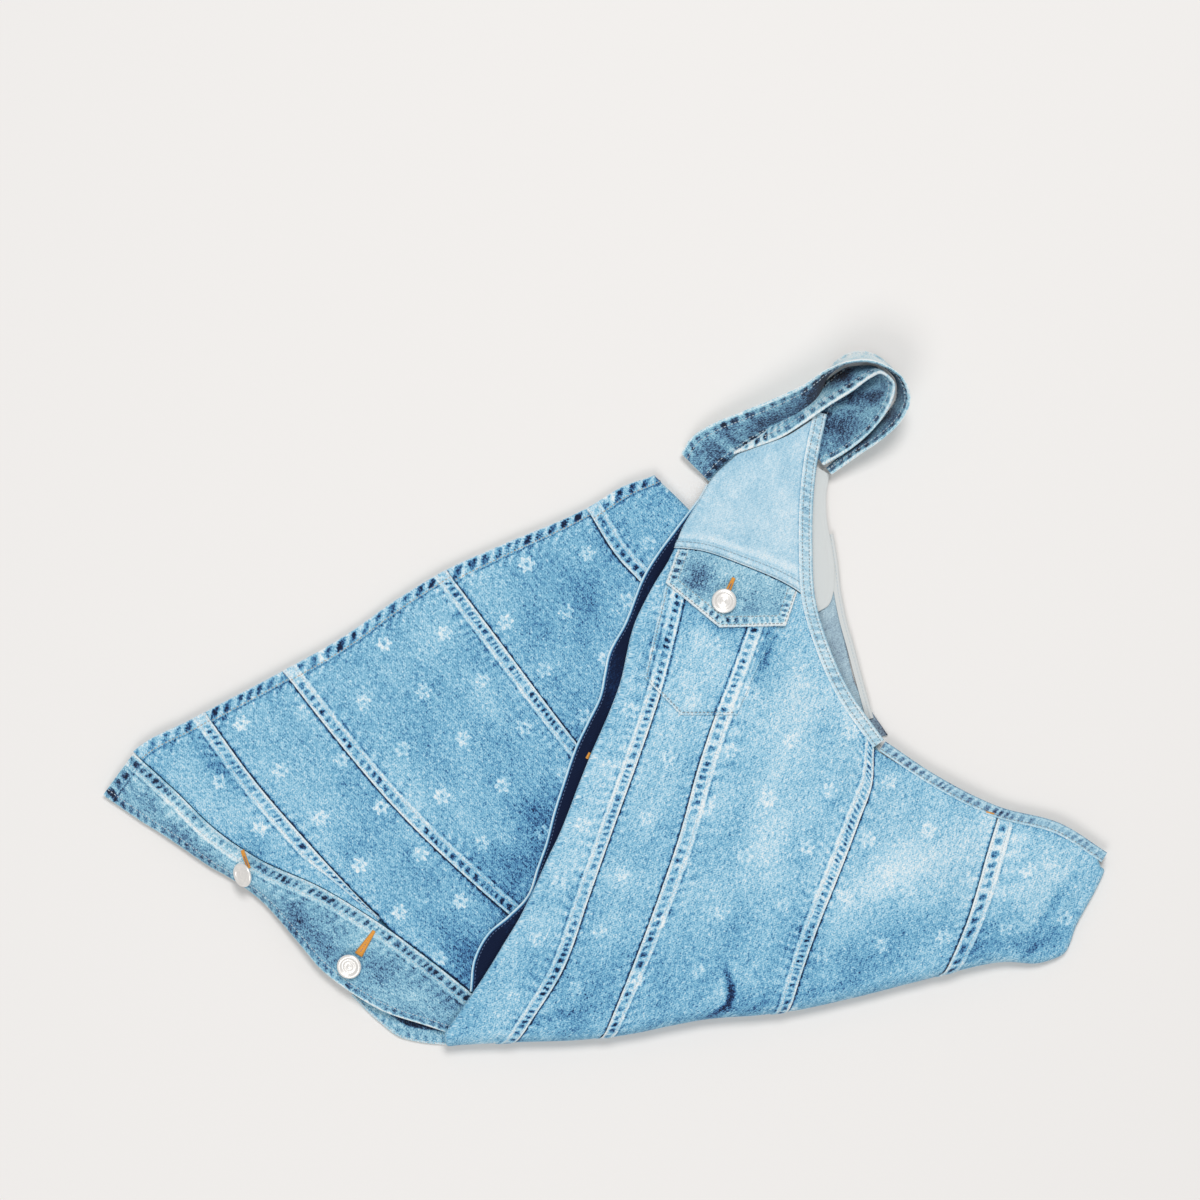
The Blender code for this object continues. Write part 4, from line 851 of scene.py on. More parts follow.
BODICE_SWELLS = (
    # x, y, length, width, degrees, rise
    (60, -215, 120, 34, 8, 3.4), (20, -60, 110, 26, 70, 1.8), (95, -70, 110, 30, 72, 1.6),
    (160, -110, 80, 26, 70, 2.4), (250, -120, 70, 34, 65, 3.0), (315, -140, 50, 22, 60, 2.6),
    (118, 150, 60, 34, 60, 2.6), (66, 132, 44, 34, 58, 6.8), (150, 205, 34, 22, 30, 3.4),
    (100, 30, 60, 34, 72, 1.5), (-70, -215, 60, 24, 40, -1.5),
)
BODICE_CREASES = (
    # x, y, length, width, degrees, depth: soft troughs and ridges by the waist fold
    (92.5, -209, 9, 2.8, 105, -1.5), (93.5, -221, 9, 2.8, 78, -1.7), (87, -232, 9, 2.8, 48, -1.5),
    (83, -216, 14, 6.0, 92, 0.7), (102, -204, 12, 4.5, 150, 0.4), (316, -189, 12, 2.2, 35, -1.6),
    (310, -192, 14, 3.0, 20, 0.8), (-40, -236, 34, 3.4, 12, -0.6), (20, -236, 30, 3.4, 6, 0.6),
    (170, -214, 26, 3.0, 14, -0.6), (214, -205, 22, 3.0, 14, 0.5), (150, -190, 30, 5.0, 30, 0.6),
    (118, -226, 14, 3.0, 40, -0.7), (268, -190, 20, 3.0, 20, -0.6), (345, -150, 24, 4.0, 58, 0.7),
    (330, -160, 26, 4.0, 52, -0.7), (-10, -60, 60, 5.0, 66, 0.5),
)
BODICE_TONE = 0.59
# Soft patches of lighter and darker tone: wash fades, and painted shade in the creases by the waist fold,
# along the turn of the waist fold and beside the pocket's side edges, with painted highlights on the crease
# ridges.
BODICE_FADES_AND_SHADE = (
    # x, y, length, width, degrees, tone
    (216, -130, 34, 20, 50, 0.18), (190, 5, 30, 12, 60, 0.14), (300, -108, 40, 18, -20, 0.20),
    (318, -182, 22, 7, 10, -0.12), (116, -80, 110, 22, 72, 0.06), (40, -100, 150, 10, 68, -0.06),
    (4, -60, 110, 9, 66, 0.10), (150, -20, 90, 26, 76, 0.10), (90, -235, 160, 16, 8, -0.13),
    (300, -150, 50, 16, 58, -0.07), (100, 20, 50, 30, 70, -0.02), (260, -170, 50, 14, 20, -0.03),
    (92, -8, 22, 20, 60, 0.07), (78, -44, 18, 12, 70, 0.08), (170, -180, 50, 14, 20, -0.04),
    (91.5, -210, 7, 1.5, 105, -0.15), (92.5, -221, 7, 1.5, 78, -0.20), (86.5, -231, 7, 1.5, 48, -0.13),
    (87, -215, 9, 2.2, 98, 0.15), (232, -178, 20, 13, 12, 0.07), (319, -136, 14, 12, 0, 0.05),
    (-80, -230, 40, 14, 30, 0.02), (90, -198, 210, 24, 8, -0.10), (96, -12, 26, 18, 60, 0.09),
    (42, -62, 30, 12, 68, 0.09), (172, -118, 22, 15, 40, 0.12), (300, -145, 34, 18, 10, 0.15),
    (16, -138, 16, 12, 0, 0.10), (-20, -178, 30, 14, 60, -0.08), (82, -204, 16, 12, 60, -0.08),
    (190, -196, 24, 12, 12, -0.07), (36, 44, 16, 3.2, 68, -0.26), (122, 36, 18, 3.2, 64, -0.26),
    (44, 60, 14, 6, 70, 0.10), (178, -100, 30, 22, 60, 0.06), (256, -106, 24, 20, 40, 0.07),
    (0, -205, 60, 24, 10, -0.06), (30, -192, 16, 10, 0, -0.07), (328, -160, 14, 10, 0, 0.08),
    (150, -190, 22, 14, 12, -0.06), (222, -142, 24, 8, 30, -0.08), (262, -186, 18, 8, 12, -0.08),
    (345, -150, 40, 9, 58, -0.10), (160, 20, 36, 12, 72, -0.05), (108, -150, 20, 30, 70, -0.05),
    (-40, -236, 30, 6, 12, -0.05), (365, -118, 12, 12, 0, -0.10),
)
BODICE_WARP = 68.0
FLOOR_GAP = 0.5
FRONT_CURL = 2.8
BACK_FOLD_CURL = 3.0
BACK_END = 0.985
BINDING_WIDTH = 10.0
BACK_BINDING_WIDTH = 8.0
FOLD_END_SHARE = 0.06             # near its ends the fold is square to the edge
WAIST_STEPS = (8, 16, 25, 34, 43, 53, 63, 74, 85, 97, 110, 123, 136, 150)
CURL_STEPS = (15, 30, 45, 60, 75, 90, 110, 130, 150)


def bodice_height(x, y):
    """Height of the bodice: two layers beyond the skirt, four where it lies over it."""
    x0, y0 = UNDER_EDGE_START
    x1, y1 = UNDER_EDGE_END
    length = math.hypot(x1 - x0, y1 - y0)
    inside = ((x - x0) * (y1 - y0) - (y - y0) * (x1 - x0)) / length
    climb = smooth_step((inside - STEP_START) / (STEP_END - STEP_START))
    return BODICE_LOW + (BODICE_HIGH - BODICE_LOW) * climb + swell(BODICE_SWELLS, x, y)


def crossing(one, other):
    """The fractions of two curves' lengths where they come nearest."""
    at = np.linspace(0.0, 1.0, 500)
    apart = np.linalg.norm(one(at)[:, None] - other(at)[None], axis=2)
    i, j = np.unravel_index(np.argmin(apart), apart.shape)
    return float(at[i]), float(at[j])


def fold_start(silhouette):
    """Where the flat of the bodice ends: the silhouette, set in by the fold's radius."""
    edge = silhouette(np.linspace(0.0, 1.0, 80))
    radius = (bodice_height(edge[:, 0], edge[:, 1]) - FLOOR_GAP) / 2
    return by_fraction(edge + left_of(edge) * radius[:, None], silhouette.length)


def joined(seam, end):
    """A seam that stops where the fold starts, near its own last point."""
    stop = meeting(seam, end)
    return curve([tuple(seam(stop * k / 7)) for k in range(7)] + [tuple(end)])


def waist_outward(at):
    """The waist fold's edge and the unit direction out of it, at fractions of its length."""
    ahead = unit(waist(np.clip(at + 0.004, 0, 1)) - waist(np.clip(at - 0.004, 0, 1)))
    return waist(at), np.stack([ahead[:, 1], -ahead[:, 0]], axis=1)


def waist_fold(panel, at):
    """Bend the foot of a panel round the waist fold; its seams run on in their own direction."""
    edge, outward = waist_outward(at)
    way = panel["cloth"][-1] - panel["cloth"][-8]
    sideways = way[:, 1] * outward[:, 0] - way[:, 0] * outward[:, 1]
    lean = np.clip(sideways / np.maximum((way * outward).sum(axis=1), 0.3), -1.2, 1.2)
    lean = lean * smooth_step(np.minimum(at, 1 - at) / FOLD_END_SHARE)
    height = bodice_height(edge[:, 0], edge[:, 1])
    radius = (height - FLOOR_GAP) / 2
    added = {key: [panel[key]] for key in panel}
    for step in np.radians(WAIST_STEPS):
        edge, outward = waist_outward(np.clip(at + lean * radius * step / waist.length, 0, 1))
        reach = (radius * (1 - math.sin(step)))[:, None]
        z = height - radius * (1 - math.cos(step))
        added["point"].append(np.concatenate((edge - outward * reach, z[:, None]), axis=1)[None])
        added["cloth"].append((panel["cloth"][-1] + outward * radius[:, None] * step)[None])
        added["left"].append(panel["left"][-1:])
        added["right"].append(panel["right"][-1:])
        added["down"].append((panel["down"][-1] + radius * step)[None])
    return {key: np.concatenate(parts) for key, parts in added.items()}


def in_plan(points):
    """A line through points with its corners kept."""
    return along(np.asarray(points, float))


bodice_lines = {name: curve(points) for name, points in BODICE_CURVES.items()}
yoke_seam = bodice_lines["yoke_seam"]
waist = bodice_lines["waist"]
foot = fold_start(waist)
arm_inner = set_in(bodice_lines["armhole"], BINDING_WIDTH, -1.0)
back_inner = set_in(bodice_lines["back_top"], BACK_BINDING_WIDTH, -1.0)
arm_corner, yoke_stop = crossing(arm_inner, yoke_seam)
yoke_5 = meeting(yoke_seam, BODICE_CURVES["seam_5"][0])
yoke_6 = meeting(yoke_seam, BODICE_CURVES["seam_6"][0])
back_8 = meeting(back_inner, BODICE_CURVES["seam_8"][0])
side_top = [tuple(yoke_seam(yoke_6 + (yoke_stop - yoke_6) * k / 6)) for k in range(6)]
side_top += [tuple(arm_inner(arm_corner + (1 - arm_corner) * k / 16)) for k in range(17)]
side_back_top = [side_top[-1]] + [tuple(back_inner(back_8 * k / 4)) for k in range(1, 5)]
bodice_seams = {
    "front": bodice_lines["front_fold"],
    "seam_5": bodice_lines["seam_5"],
    "seam_6": bodice_lines["seam_6"],
    "seam_7": curve((side_top[-1],) + BODICE_CURVES["seam_7"][1:]),
    "seam_8": curve((side_back_top[-1],) + BODICE_CURVES["seam_8"][1:]),
    "back": curve((tuple(back_inner(BACK_END)), tuple(foot(1.0)))),
}
at_waist = {name: crossing(foot, line)[0] for name, line in bodice_lines.items() if name[:5] == "seam_"}
at_waist.update(front=0.0, back=1.0)
bodice_denim = denim("washed_bodice_denim", 0.22, 1.0)
BODICE_PANELS = (
    # name, left seam, right seam, top edge, felled seams
    ("bodice_front_panel", "front", "seam_5", part_of(yoke_seam, 0.0, yoke_5), (False, True)),
    ("bodice_side_front_panel", "seam_5", "seam_6", part_of(yoke_seam, yoke_5, yoke_6), (False, False)),
    ("bodice_side_panel", "seam_6", "seam_7", in_plan(side_top), (True, True)),
    ("bodice_side_back_panel", "seam_7", "seam_8", curve(side_back_top), (False, False)),
    ("bodice_back_panel", "seam_8", "back", part_of(back_inner, back_8, BACK_END), (True, False)),
)
bodice_sewing = []
for number, (name, left_name, right_name, top, felled) in enumerate(BODICE_PANELS):
    start = at_waist[left_name]
    stop = at_waist[right_name]
    panel_foot = part_of(foot, start, stop)
    silhouette = part_of(waist, start, stop)
    left = joined(bodice_seams[left_name], panel_foot(0.0))
    right = joined(bodice_seams[right_name], panel_foot(1.0))
    length = (left.length + right.length) / 2
    down = np.linspace(SEAM_GAP / 2, length, int(length / ROW_STEP))
    panel = lay_panel(left, right, top, panel_foot, bodice_height, down=down)
    at_foot = panel["left"][-1] / (panel["left"][-1] + panel["right"][-1])
    edge = silhouette(at_foot)
    settle = bodice_height(edge[:, 0], edge[:, 1]) - panel["point"][-1, :, 2]
    panel["point"][..., 2] += settle[None, :] * (panel["down"] / length) ** 6
    x, y = plan_of(panel)
    panel["point"][..., 2] += swell(BODICE_CREASES, x, y) * smooth_step((1 - panel["down"] / length) * 30)
    panel = waist_fold(panel, start + (stop - start) * at_foot)
    if left_name == "front":
        panel = turn_side(panel, FRONT_CURL, CURL_STEPS, True)
    if right_name == "back":
        panel = turn_side(panel, BACK_FOLD_CURL, CURL_STEPS)
    height = np.zeros(panel["left"].shape)
    tone = np.zeros(panel["left"].shape)
    for side, fell, seed, is_seam in (("left", felled[0], 500 + number, left_name != "front"),
                                      ("right", felled[1], 501 + number, right_name != "back")):
        if is_seam:
            rise, shade = (felled_seam if fell else under_seam)(panel[side], panel["down"], 10 * seed)
            height = height + rise
            tone = tone + shade
    x, y = plan_of(panel)
    tone = tone + BODICE_TONE + swell(BODICE_FADES_AND_SHADE, x, y) + 0.12 * uneven(x, y, 24, 15)
    # Painted shade: a dark line along the top of each panel, under the edge sewn over it; and the creases,
    # darker in their troughs and lighter on their ridges.
    tone = tone - 0.18 * bell(panel["down"], 1.0) + 0.20 * np.minimum(swell(BODICE_CREASES, x, y), 0.3)
    height = height + undulation(x, y, 16) * smooth_step(panel["down"] / 12)
    outer = raised(panel, height)
    sewn_sheet(name, outer, tone, panel, BODICE_WARP, bodice_denim)
    bodice_sewing += [line_on(outer, panel[side], row)
                      for side, fell in zip(("left", "right"), felled) if fell for row in SEAM_ROWS]
stitches("bodice_seam_stitches", bodice_sewing, pale_thread)


# ------------------------------------------------------------------ yoke and bindings
# The front yoke is bleached almost white and sewn over the panels with two rows. The
# armhole and the top of the back are bound with a doubled strip.
YOKE_HEM = 8.0
YOKE_TONE = 0.69
YOKE_ROWS = (1.6, 6.6)
# Soft patches of lighter and darker tone: wash fades, and a painted shade line along the neck seam under
# the collar.
YOKE_FADES_AND_SHADE = (
    # x, y, length, width, degrees, tone
    (120, 150, 40, 22, 60, 0.05), (80, 130, 30, 20, 60, -0.03), (140, 100, 24, 20, 0, 0.05),
    (118, 186, 40, 5, 22, -0.10), (66, 122, 26, 6, 20, -0.05),
)
neck_start, neck_stop = crossing(arm_inner, bodice_lines["neck_seam"])
yoke_left = bodice_lines["yoke_front"]
yoke_right = part_of(arm_inner, neck_start, arm_corner)
yoke_length = (yoke_left.length + yoke_right.length) / 2
down = yoke_length - steps_down(yoke_length, True)[::-1]
panel = lay_panel(yoke_left, yoke_right, part_of(bodice_lines["neck_seam"], 0.0, neck_stop),
                  part_of(yoke_seam, 0.0, yoke_stop), bodice_height, down=down)
panel = turn_side(panel, FRONT_CURL, CURL_STEPS, True)
from_foot = yoke_length - panel["down"]
dark = blocks(panel["cloth"][..., 0], from_foot, 5.5, 0.4, 601)
band = band_of(from_foot, 4.1, 3.0, 4)
height = RIDGE * smooth_step((YOKE_HEM + 0.5 - from_foot) / 0.9) - 0.25 * dark * band
height = height - 0.3 * needle_lines(from_foot, YOKE_ROWS)
tone = YOKE_TONE - 0.10 * dark * band + 0.14 * bell(from_foot - 0.5, 0.9) + 0.09 * bell(from_foot - 4, 5.0)
# a painted shade line at the top fold of the hem band, and a painted highlight above it
tone = tone - 0.12 * bell(from_foot - 8.8, 0.8) + 0.12 * bell(from_foot - 12.5, 3.0)
rise, shade = under_seam(panel["right"], panel["down"], 602)
x, y = plan_of(panel)
# the under_seam tone here is mostly its painted shadow line beside the armhole binding
tone = tone - 0.16 * needle_lines(from_foot, YOKE_ROWS, 0.8) + 0.40 * shade
tone = tone + swell(YOKE_FADES_AND_SHADE, x, y) + 0.10 * uneven(x, y, 12, 17)
outer = raised(panel, height + rise)
yoke_denim = denim("bleached_yoke_denim", 0.0, 0.5, 0.86)
binding_denim = denim("washed_binding_denim", 0.0, 0.7, 0.78, 0.495)
sewn_sheet("yoke", outer, tone, panel, BODICE_WARP, yoke_denim, slot="pale_denim")
yoke_sewing = [line_on(outer[::-1], from_foot[::-1], row, across=False) for row in YOKE_ROWS]
stitches("yoke_stitches", yoke_sewing, grey_thread)

BINDING_SECTION = ((0.0, 0.15), (0.1, 0.55), (0.45, 0.6), (0.8, 0.4), (0.95, -0.3), (1.0, -1.0))
BINDING_WARP = 20.0
BINDING_COLUMNS = 20
BINDINGS = (
    # node, edge, width, tone, depth of its puckers, rows of sewing, seed
    ("armhole_binding", "armhole", BINDING_WIDTH, 0.74, 0.36, (2.4, 7.2), 611),
    ("back_top_binding", "back_top", BACK_BINDING_WIDTH, 0.60, 0.62, (6.2,), 621),
)
for name, edge_name, width, base, depth, sewing, seed in BINDINGS:
    edge = bodice_lines[edge_name]
    at = np.linspace(0.004, 0.996, int(edge.length))
    inside = set_in(edge, width + 0.3, -1.0)(at)
    u = np.linspace(0.0, 1.0, BINDING_COLUMNS)[None, :]
    plan = inside[:, None] * (1 - u[..., None]) + edge(at)[:, None] * u[..., None]
    strip = piece_of(plan, bodice_height(plan[..., 0], plan[..., 1]) + np.interp(u, *zip(*BINDING_SECTION)))
    run = spread(at * edge.length, BINDING_COLUMNS)
    t = np.repeat((1 - u) * width, len(at), axis=0)
    dark = blocks(run, t, 5.6, 0.4, seed)
    band = band_of(t, width / 2, 0.36 * width, 4)
    fall = 0.3 + 0.7 * grain(run, 0, 34.0, seed + 1)
    tone = base - depth * dark * band * fall + 0.14 * bell(width - t - 0.6, 0.8) + 0.10 * bell(t - 1.4, 0.8)
    # painted shade along the outer edge, where the binding turns down
    tone = tone - 0.26 * bell(t, 0.7)
    outer = raised(strip, -0.25 * dark * band - 0.28 * needle_lines(t, sewing))
    sewn_sheet(name, outer, tone, strip, BINDING_WARP, binding_denim, BOUND_WALL, "pale_denim")
    stitches(name + "_stitches", [line_on(outer, t, row) for row in sewing], grey_thread)


# ------------------------------------------------------------------ chest pocket
# A patch pocket across two seams, with a pointed flap under the yoke. Both are of the
# same denim; the pocket is sewn with one row, the flap with two, and the flap is darker where it was
# doubled.
POCKET = {"top_left": (46, 90), "top_right": (134, 66), "low_right": (103, 3), "low_left": (29, 17),
          "corners": ((56, -11), (98, -11))}
FLAP = {"top_left": (54, 112), "top_right": (144, 81), "low_right": (135, 55), "point": (85, 54),
        "low_left": (45, 87)}
POCKET_LIFT = 1.5
POCKET_WALL = 1.0
FLAP_TOP_LIFT = 1.5
FLAP_LIFT = 3.3
FLAP_WALL = 2.0
FLAP_BELOW_SEAM = 0.9
TUCK_SHARE = 2.5
PATCH_STEPS = 96
EDGE_APART = 400.0                # keeps the puckers of one edge unlike those of the next
UPWARD = (0.0, 0.0, 1.0)
POCKET_ROW = 1.8
FLAP_ROWS = (1.8, 7.6)
POCKET_TONE = 0.63
# Soft patches of lighter and darker tone: wash fades and pale frayed spots, with painted shadow lines along
# the pocket's side edges and under the flap's lower edges.
POCKET_FADES_AND_SHADOWS = (
    # x, y, length, width, degrees, tone
    (40, 38, 16, 4, 72, -0.30), (117, 38, 18, 3.5, 64, -0.34), (80, 30, 26, 16, 70, 0.05),
    (100, 55, 40, 6, -4, -0.22), (60, 72, 20, 6, -36, -0.20), (48, -7, 10, 3, -48, 0.24),
    (96, -4, 12, 5, 70, 0.20), (84, -9, 22, 1.4, 0, -0.12),
)
FLAP_TONE = 0.49
FLAP_FADES = (
    # x, y, length, width, degrees, tone
    (100, 97, 36, 6, -22, 0.10), (68, 87, 14, 13, 40, -0.24), (104, 92, 14, 2, -14, -0.10),
    (88, 94, 6, 5, 0, 0.12), (120, 80, 14, 8, -20, 0.08), (122, 68, 16, 5, 0, -0.06),
    (78, 72, 8, 8, 0, 0.04),
)


def from_line(x, y, a, b):
    """Distance of plan points to the left of the line from a to b."""
    length = math.hypot(b[0] - a[0], b[1] - a[1])
    return ((b[0] - a[0]) * (y - a[1]) - (b[1] - a[1]) * (x - a[0])) / length


def lay_patch(left, right, top, bottom, lift, corners=()):
    """A patch between four edges, a given lift above the bodice."""
    across = np.unique(np.concatenate((np.linspace(0.0, 1.0, PATCH_STEPS), corners)))
    u, v = np.meshgrid(across, np.linspace(0.0, 1.0, PATCH_STEPS))
    plan = patch(left, right, top, bottom, u, v)
    return piece_of(plan, bodice_height(plan[..., 0], plan[..., 1]) + lift(v))


def sewn_border(x, y, edges, rows, seed):
    """Height and tone of a border sewn inside straight edges, listed anticlockwise."""
    away = np.stack([from_line(x, y, a, b) for a, b in edges])
    t = away.min(axis=0)
    near = away.argmin(axis=0)
    run = np.zeros(t.shape)
    for k, (a, b) in enumerate(edges):
        way = unit(np.subtract(b, a).astype(float))
        run = np.where(near == k, way[0] * (x - a[0]) + way[1] * (y - a[1]) + EDGE_APART * k, run)
    dark = blocks(run, t, 5.6, 0.2, seed)
    band = band_of(t, 4.7, 2.4, 4)
    height = -0.3 * dark * band - 0.7 * bell(t, 0.5) - 0.28 * needle_lines(t, rows)
    tone = -0.55 * dark * band + 0.22 * smooth_step((8.6 - t) / 0.8) + 0.28 * bell(t - 1.0, 1.2)
    return t, height, tone


def border_lines(edges, row, lift):
    """Lines of sewing a set distance inside straight edges, a lift above the bodice."""
    lines = []
    for k, (a, b) in enumerate(edges):
        way = np.subtract(b, a).astype(float)
        size = np.linalg.norm(way)
        way /= size
        inward = np.array([-way[1], way[0]])
        spots = np.array(a) + inward * row + way * np.linspace(0, size, int(size))[:, None]
        for other in edges[max(k - 1, 0):k] + edges[k + 1:k + 2]:
            spots = spots[from_line(*spots.T, *other) > row - 0.1]
        if len(spots) >= 3:
            z = bodice_height(*spots.T) + lift
            lines.append((np.column_stack((spots, z)), np.tile(UPWARD, (len(spots), 1))))
    return lines


p = POCKET
low_points = [p["low_left"], *p["corners"], p["low_right"]]
pocket_foot = in_plan(low_points)
piece = lay_patch(curve((p["top_left"], p["low_left"])), curve((p["top_right"], p["low_right"])),
                  curve((p["top_left"], p["top_right"])), pocket_foot,
                  lambda v: POCKET_LIFT + POCKET_WALL + 0 * v,
                  [meeting(pocket_foot, corner) for corner in p["corners"]])
x, y = plan_of(piece)
pocket_edges = [(p["top_left"], p["low_left"])] + list(zip(low_points, low_points[1:]))
pocket_edges += [(p["low_right"], p["top_right"])]
t, height, tone = sewn_border(x, y, pocket_edges, (POCKET_ROW,), 701)
tone = tone * 0.25 + POCKET_TONE + swell(POCKET_FADES_AND_SHADOWS, x, y) + 0.12 * uneven(x, y, 14, 18)
for name, side, seed in (("seam_5", -1.0, 5010), ("seam_6", 1.0, 5020)):
    at = np.linspace(0, 0.5, 260)
    line = bodice_lines[name](at)
    apart = np.linalg.norm(np.stack([x, y], -1)[:, :, None] - line[None, None], axis=-1)
    nearest = apart.argmin(axis=-1)
    away = apart.min(axis=-1) * np.where((x - line[nearest][..., 0]) * side > 0, 1.0, -1.0)
    rise, shade = felled_seam(np.maximum(away, 0), at[nearest] * bodice_lines[name].length, seed)
    on = smooth_step(away / 0.5) * smooth_step((14.0 - away) / 2)
    height = height + rise * on
    # a painted shadow line beside each seam's crisp edge
    tone = tone + shade * on - 0.55 * bell(away + 0.4, 0.9)
sewn_sheet("chest_pocket", raised(piece, height), tone, piece, BODICE_WARP, bodice_denim, POCKET_WALL,
           rests_on="bodice_side_front_panel")
stitches("chest_pocket_stitches",
         border_lines(pocket_edges, POCKET_ROW, POCKET_LIFT + POCKET_WALL + 0.35), grey_thread)

f = FLAP
flap_seam = set_in(yoke_seam, FLAP_BELOW_SEAM, -1.0)
flap_foot = in_plan((f["low_left"], f["point"], f["low_right"]))
point_at = np.linalg.norm(np.subtract(f["point"], f["low_left"])) / flap_foot.length


def flap_lift(v):
    return FLAP_LIFT + FLAP_WALL - (FLAP_LIFT - FLAP_TOP_LIFT) * (1 - smooth_step(v * TUCK_SHARE))


piece = lay_patch(curve((f["top_left"], f["low_left"])), curve((f["top_right"], f["low_right"])),
                  part_of(flap_seam, meeting(flap_seam, f["top_left"]), meeting(flap_seam, f["top_right"])),
                  flap_foot, flap_lift, (point_at,))
x, y = plan_of(piece)
flap_edges = [(f["top_left"], f["low_left"]), (f["low_left"], f["point"]), (f["point"], f["low_right"]),
              (f["low_right"], f["top_right"])]
t, height, tone = sewn_border(x, y, flap_edges, FLAP_ROWS, 711)
tone = tone + FLAP_TONE + swell(FLAP_FADES, x, y) + 0.12 * uneven(x, y, 10, 19)
flap_outer = raised(piece, height + 0.5 * smooth_step(9.0 - t) * smooth_step(t))
flap_denim = denim("washed_flap_denim", 0.0, 1.0, 0.86, 0.492)
sewn_sheet("pocket_flap", flap_outer, tone, piece, BODICE_WARP, flap_denim, FLAP_WALL,
           rests_on="chest_pocket")
flap_top = FLAP_LIFT + FLAP_WALL + 0.45
stitches("pocket_flap_stitches",
         [line for row in FLAP_ROWS for line in border_lines(flap_edges, row, flap_top)], grey_thread)


# ------------------------------------------------------------------ collar
# Two bands of doubled denim stand on edge in a loop: the stand sewn to the neck, and
# the leaf with its pointed end outside it. Each is sewn along both edges.
STAND_SECTIONS = (
    # rim x, y, z, base x, y, z
    (96.0, 183.2, 12.9, 96.3, 184.6, 12.6), (113.8, 189.0, 13.1, 114, 196, 10.5),
    (131.6, 195.7, 14.6, 132, 210, 8.0), (149, 206.5, 17.5, 148, 222, 6.0),
    (167, 219, 23.0, 161, 234, 4.5), (183, 229, 29.0, 174, 244, 4.5),
    (197, 239, 36.0, 185, 248, 4.5), (204, 242, 39.0, 193, 247, 4.5),
    (212, 237, 40.5, 186, 240, 4.5), (214, 230, 40.0, 174, 231, 4.5),
    (209, 215, 36.0, 163, 219, 4.5), (198, 200, 30.0, 158, 207, 4.2),
    (183, 187, 22.0, 155, 197, 4.0), (163, 175, 12.0, 154, 187, 3.6),
)
LEAF_SECTIONS = (
    # rim x, y, z, base x, y, z
    (57, 184, 8.0, 78, 163, 3.6), (64, 195, 10.5, 88, 174, 3.6), (79, 205, 15.0, 103, 186, 5.0),
    (101, 214, 21.0, 119, 197, 5.0), (124, 223, 28.0, 139, 208, 4.2), (146, 233, 34.0, 157, 220, 4.2),
    (165, 245, 38.5, 166, 244, 4.2), (179, 250, 41.5, 177, 256, 4.4), (195, 251, 42.5, 190, 260.5, 4.6),
    (211, 245, 43.0, 205, 256, 4.8), (221, 236, 43.0, 217, 244, 5.2), (225, 222, 42.0, 219, 226, 6.0),
    (219, 207, 38.0, 211, 213, 6.0), (206, 194, 32.0, 199, 201, 5.0), (190, 183, 25.0, 184, 189, 4.4),
    (169, 168, 14.0, 166, 173, 3.6),
)
# Painted light on the collar's faces: negative tones are painted shade, strongest towards the foot of each
# band between the leaf and the stand, and positive tones are painted highlights.
STAND_SHADES = (
    # for each face: place along the band, spread, how far up it reaches, tone
    ((0.80, 0.20, 1.0, -0.20), (0.60, 0.03, 1.0, -0.26), (0.70, 0.02, 1.0, -0.16),
     (0.76, 0.015, 1.0, 0.16)),
    ((0.24, 0.14, 1.0, 0.12), (0.40, 0.05, 1.0, -0.16), (0.49, 0.06, 1.4, -0.56)),
)
LEAF_SHADES = (
    ((0.39, 0.07, 1.3, -0.60), (0.58, 0.10, 1.3, -0.46), (0.05, 0.035, 1.2, -0.30),
     (0.10, 0.012, 1.3, 0.30), (0.125, 0.014, 1.2, -0.20), (0.25, 0.08, 1.0, 0.10)),
    ((0.48, 0.12, 1.0, 0.14),),
)
COLLAR_ROW = 6.0
COLLAR_BANDS = (
    # node, sections, bow, tone of one face, tone of the other
    ("collar_stand", STAND_SECTIONS, -0.16, 0.31, 0.47, STAND_SHADES),
    ("collar_leaf", LEAF_SECTIONS, 0.12, 0.29, 0.76, LEAF_SHADES),
)
collar_denim = denim("washed_collar_denim", 0.0, 0.9, 0.84, 0.488)
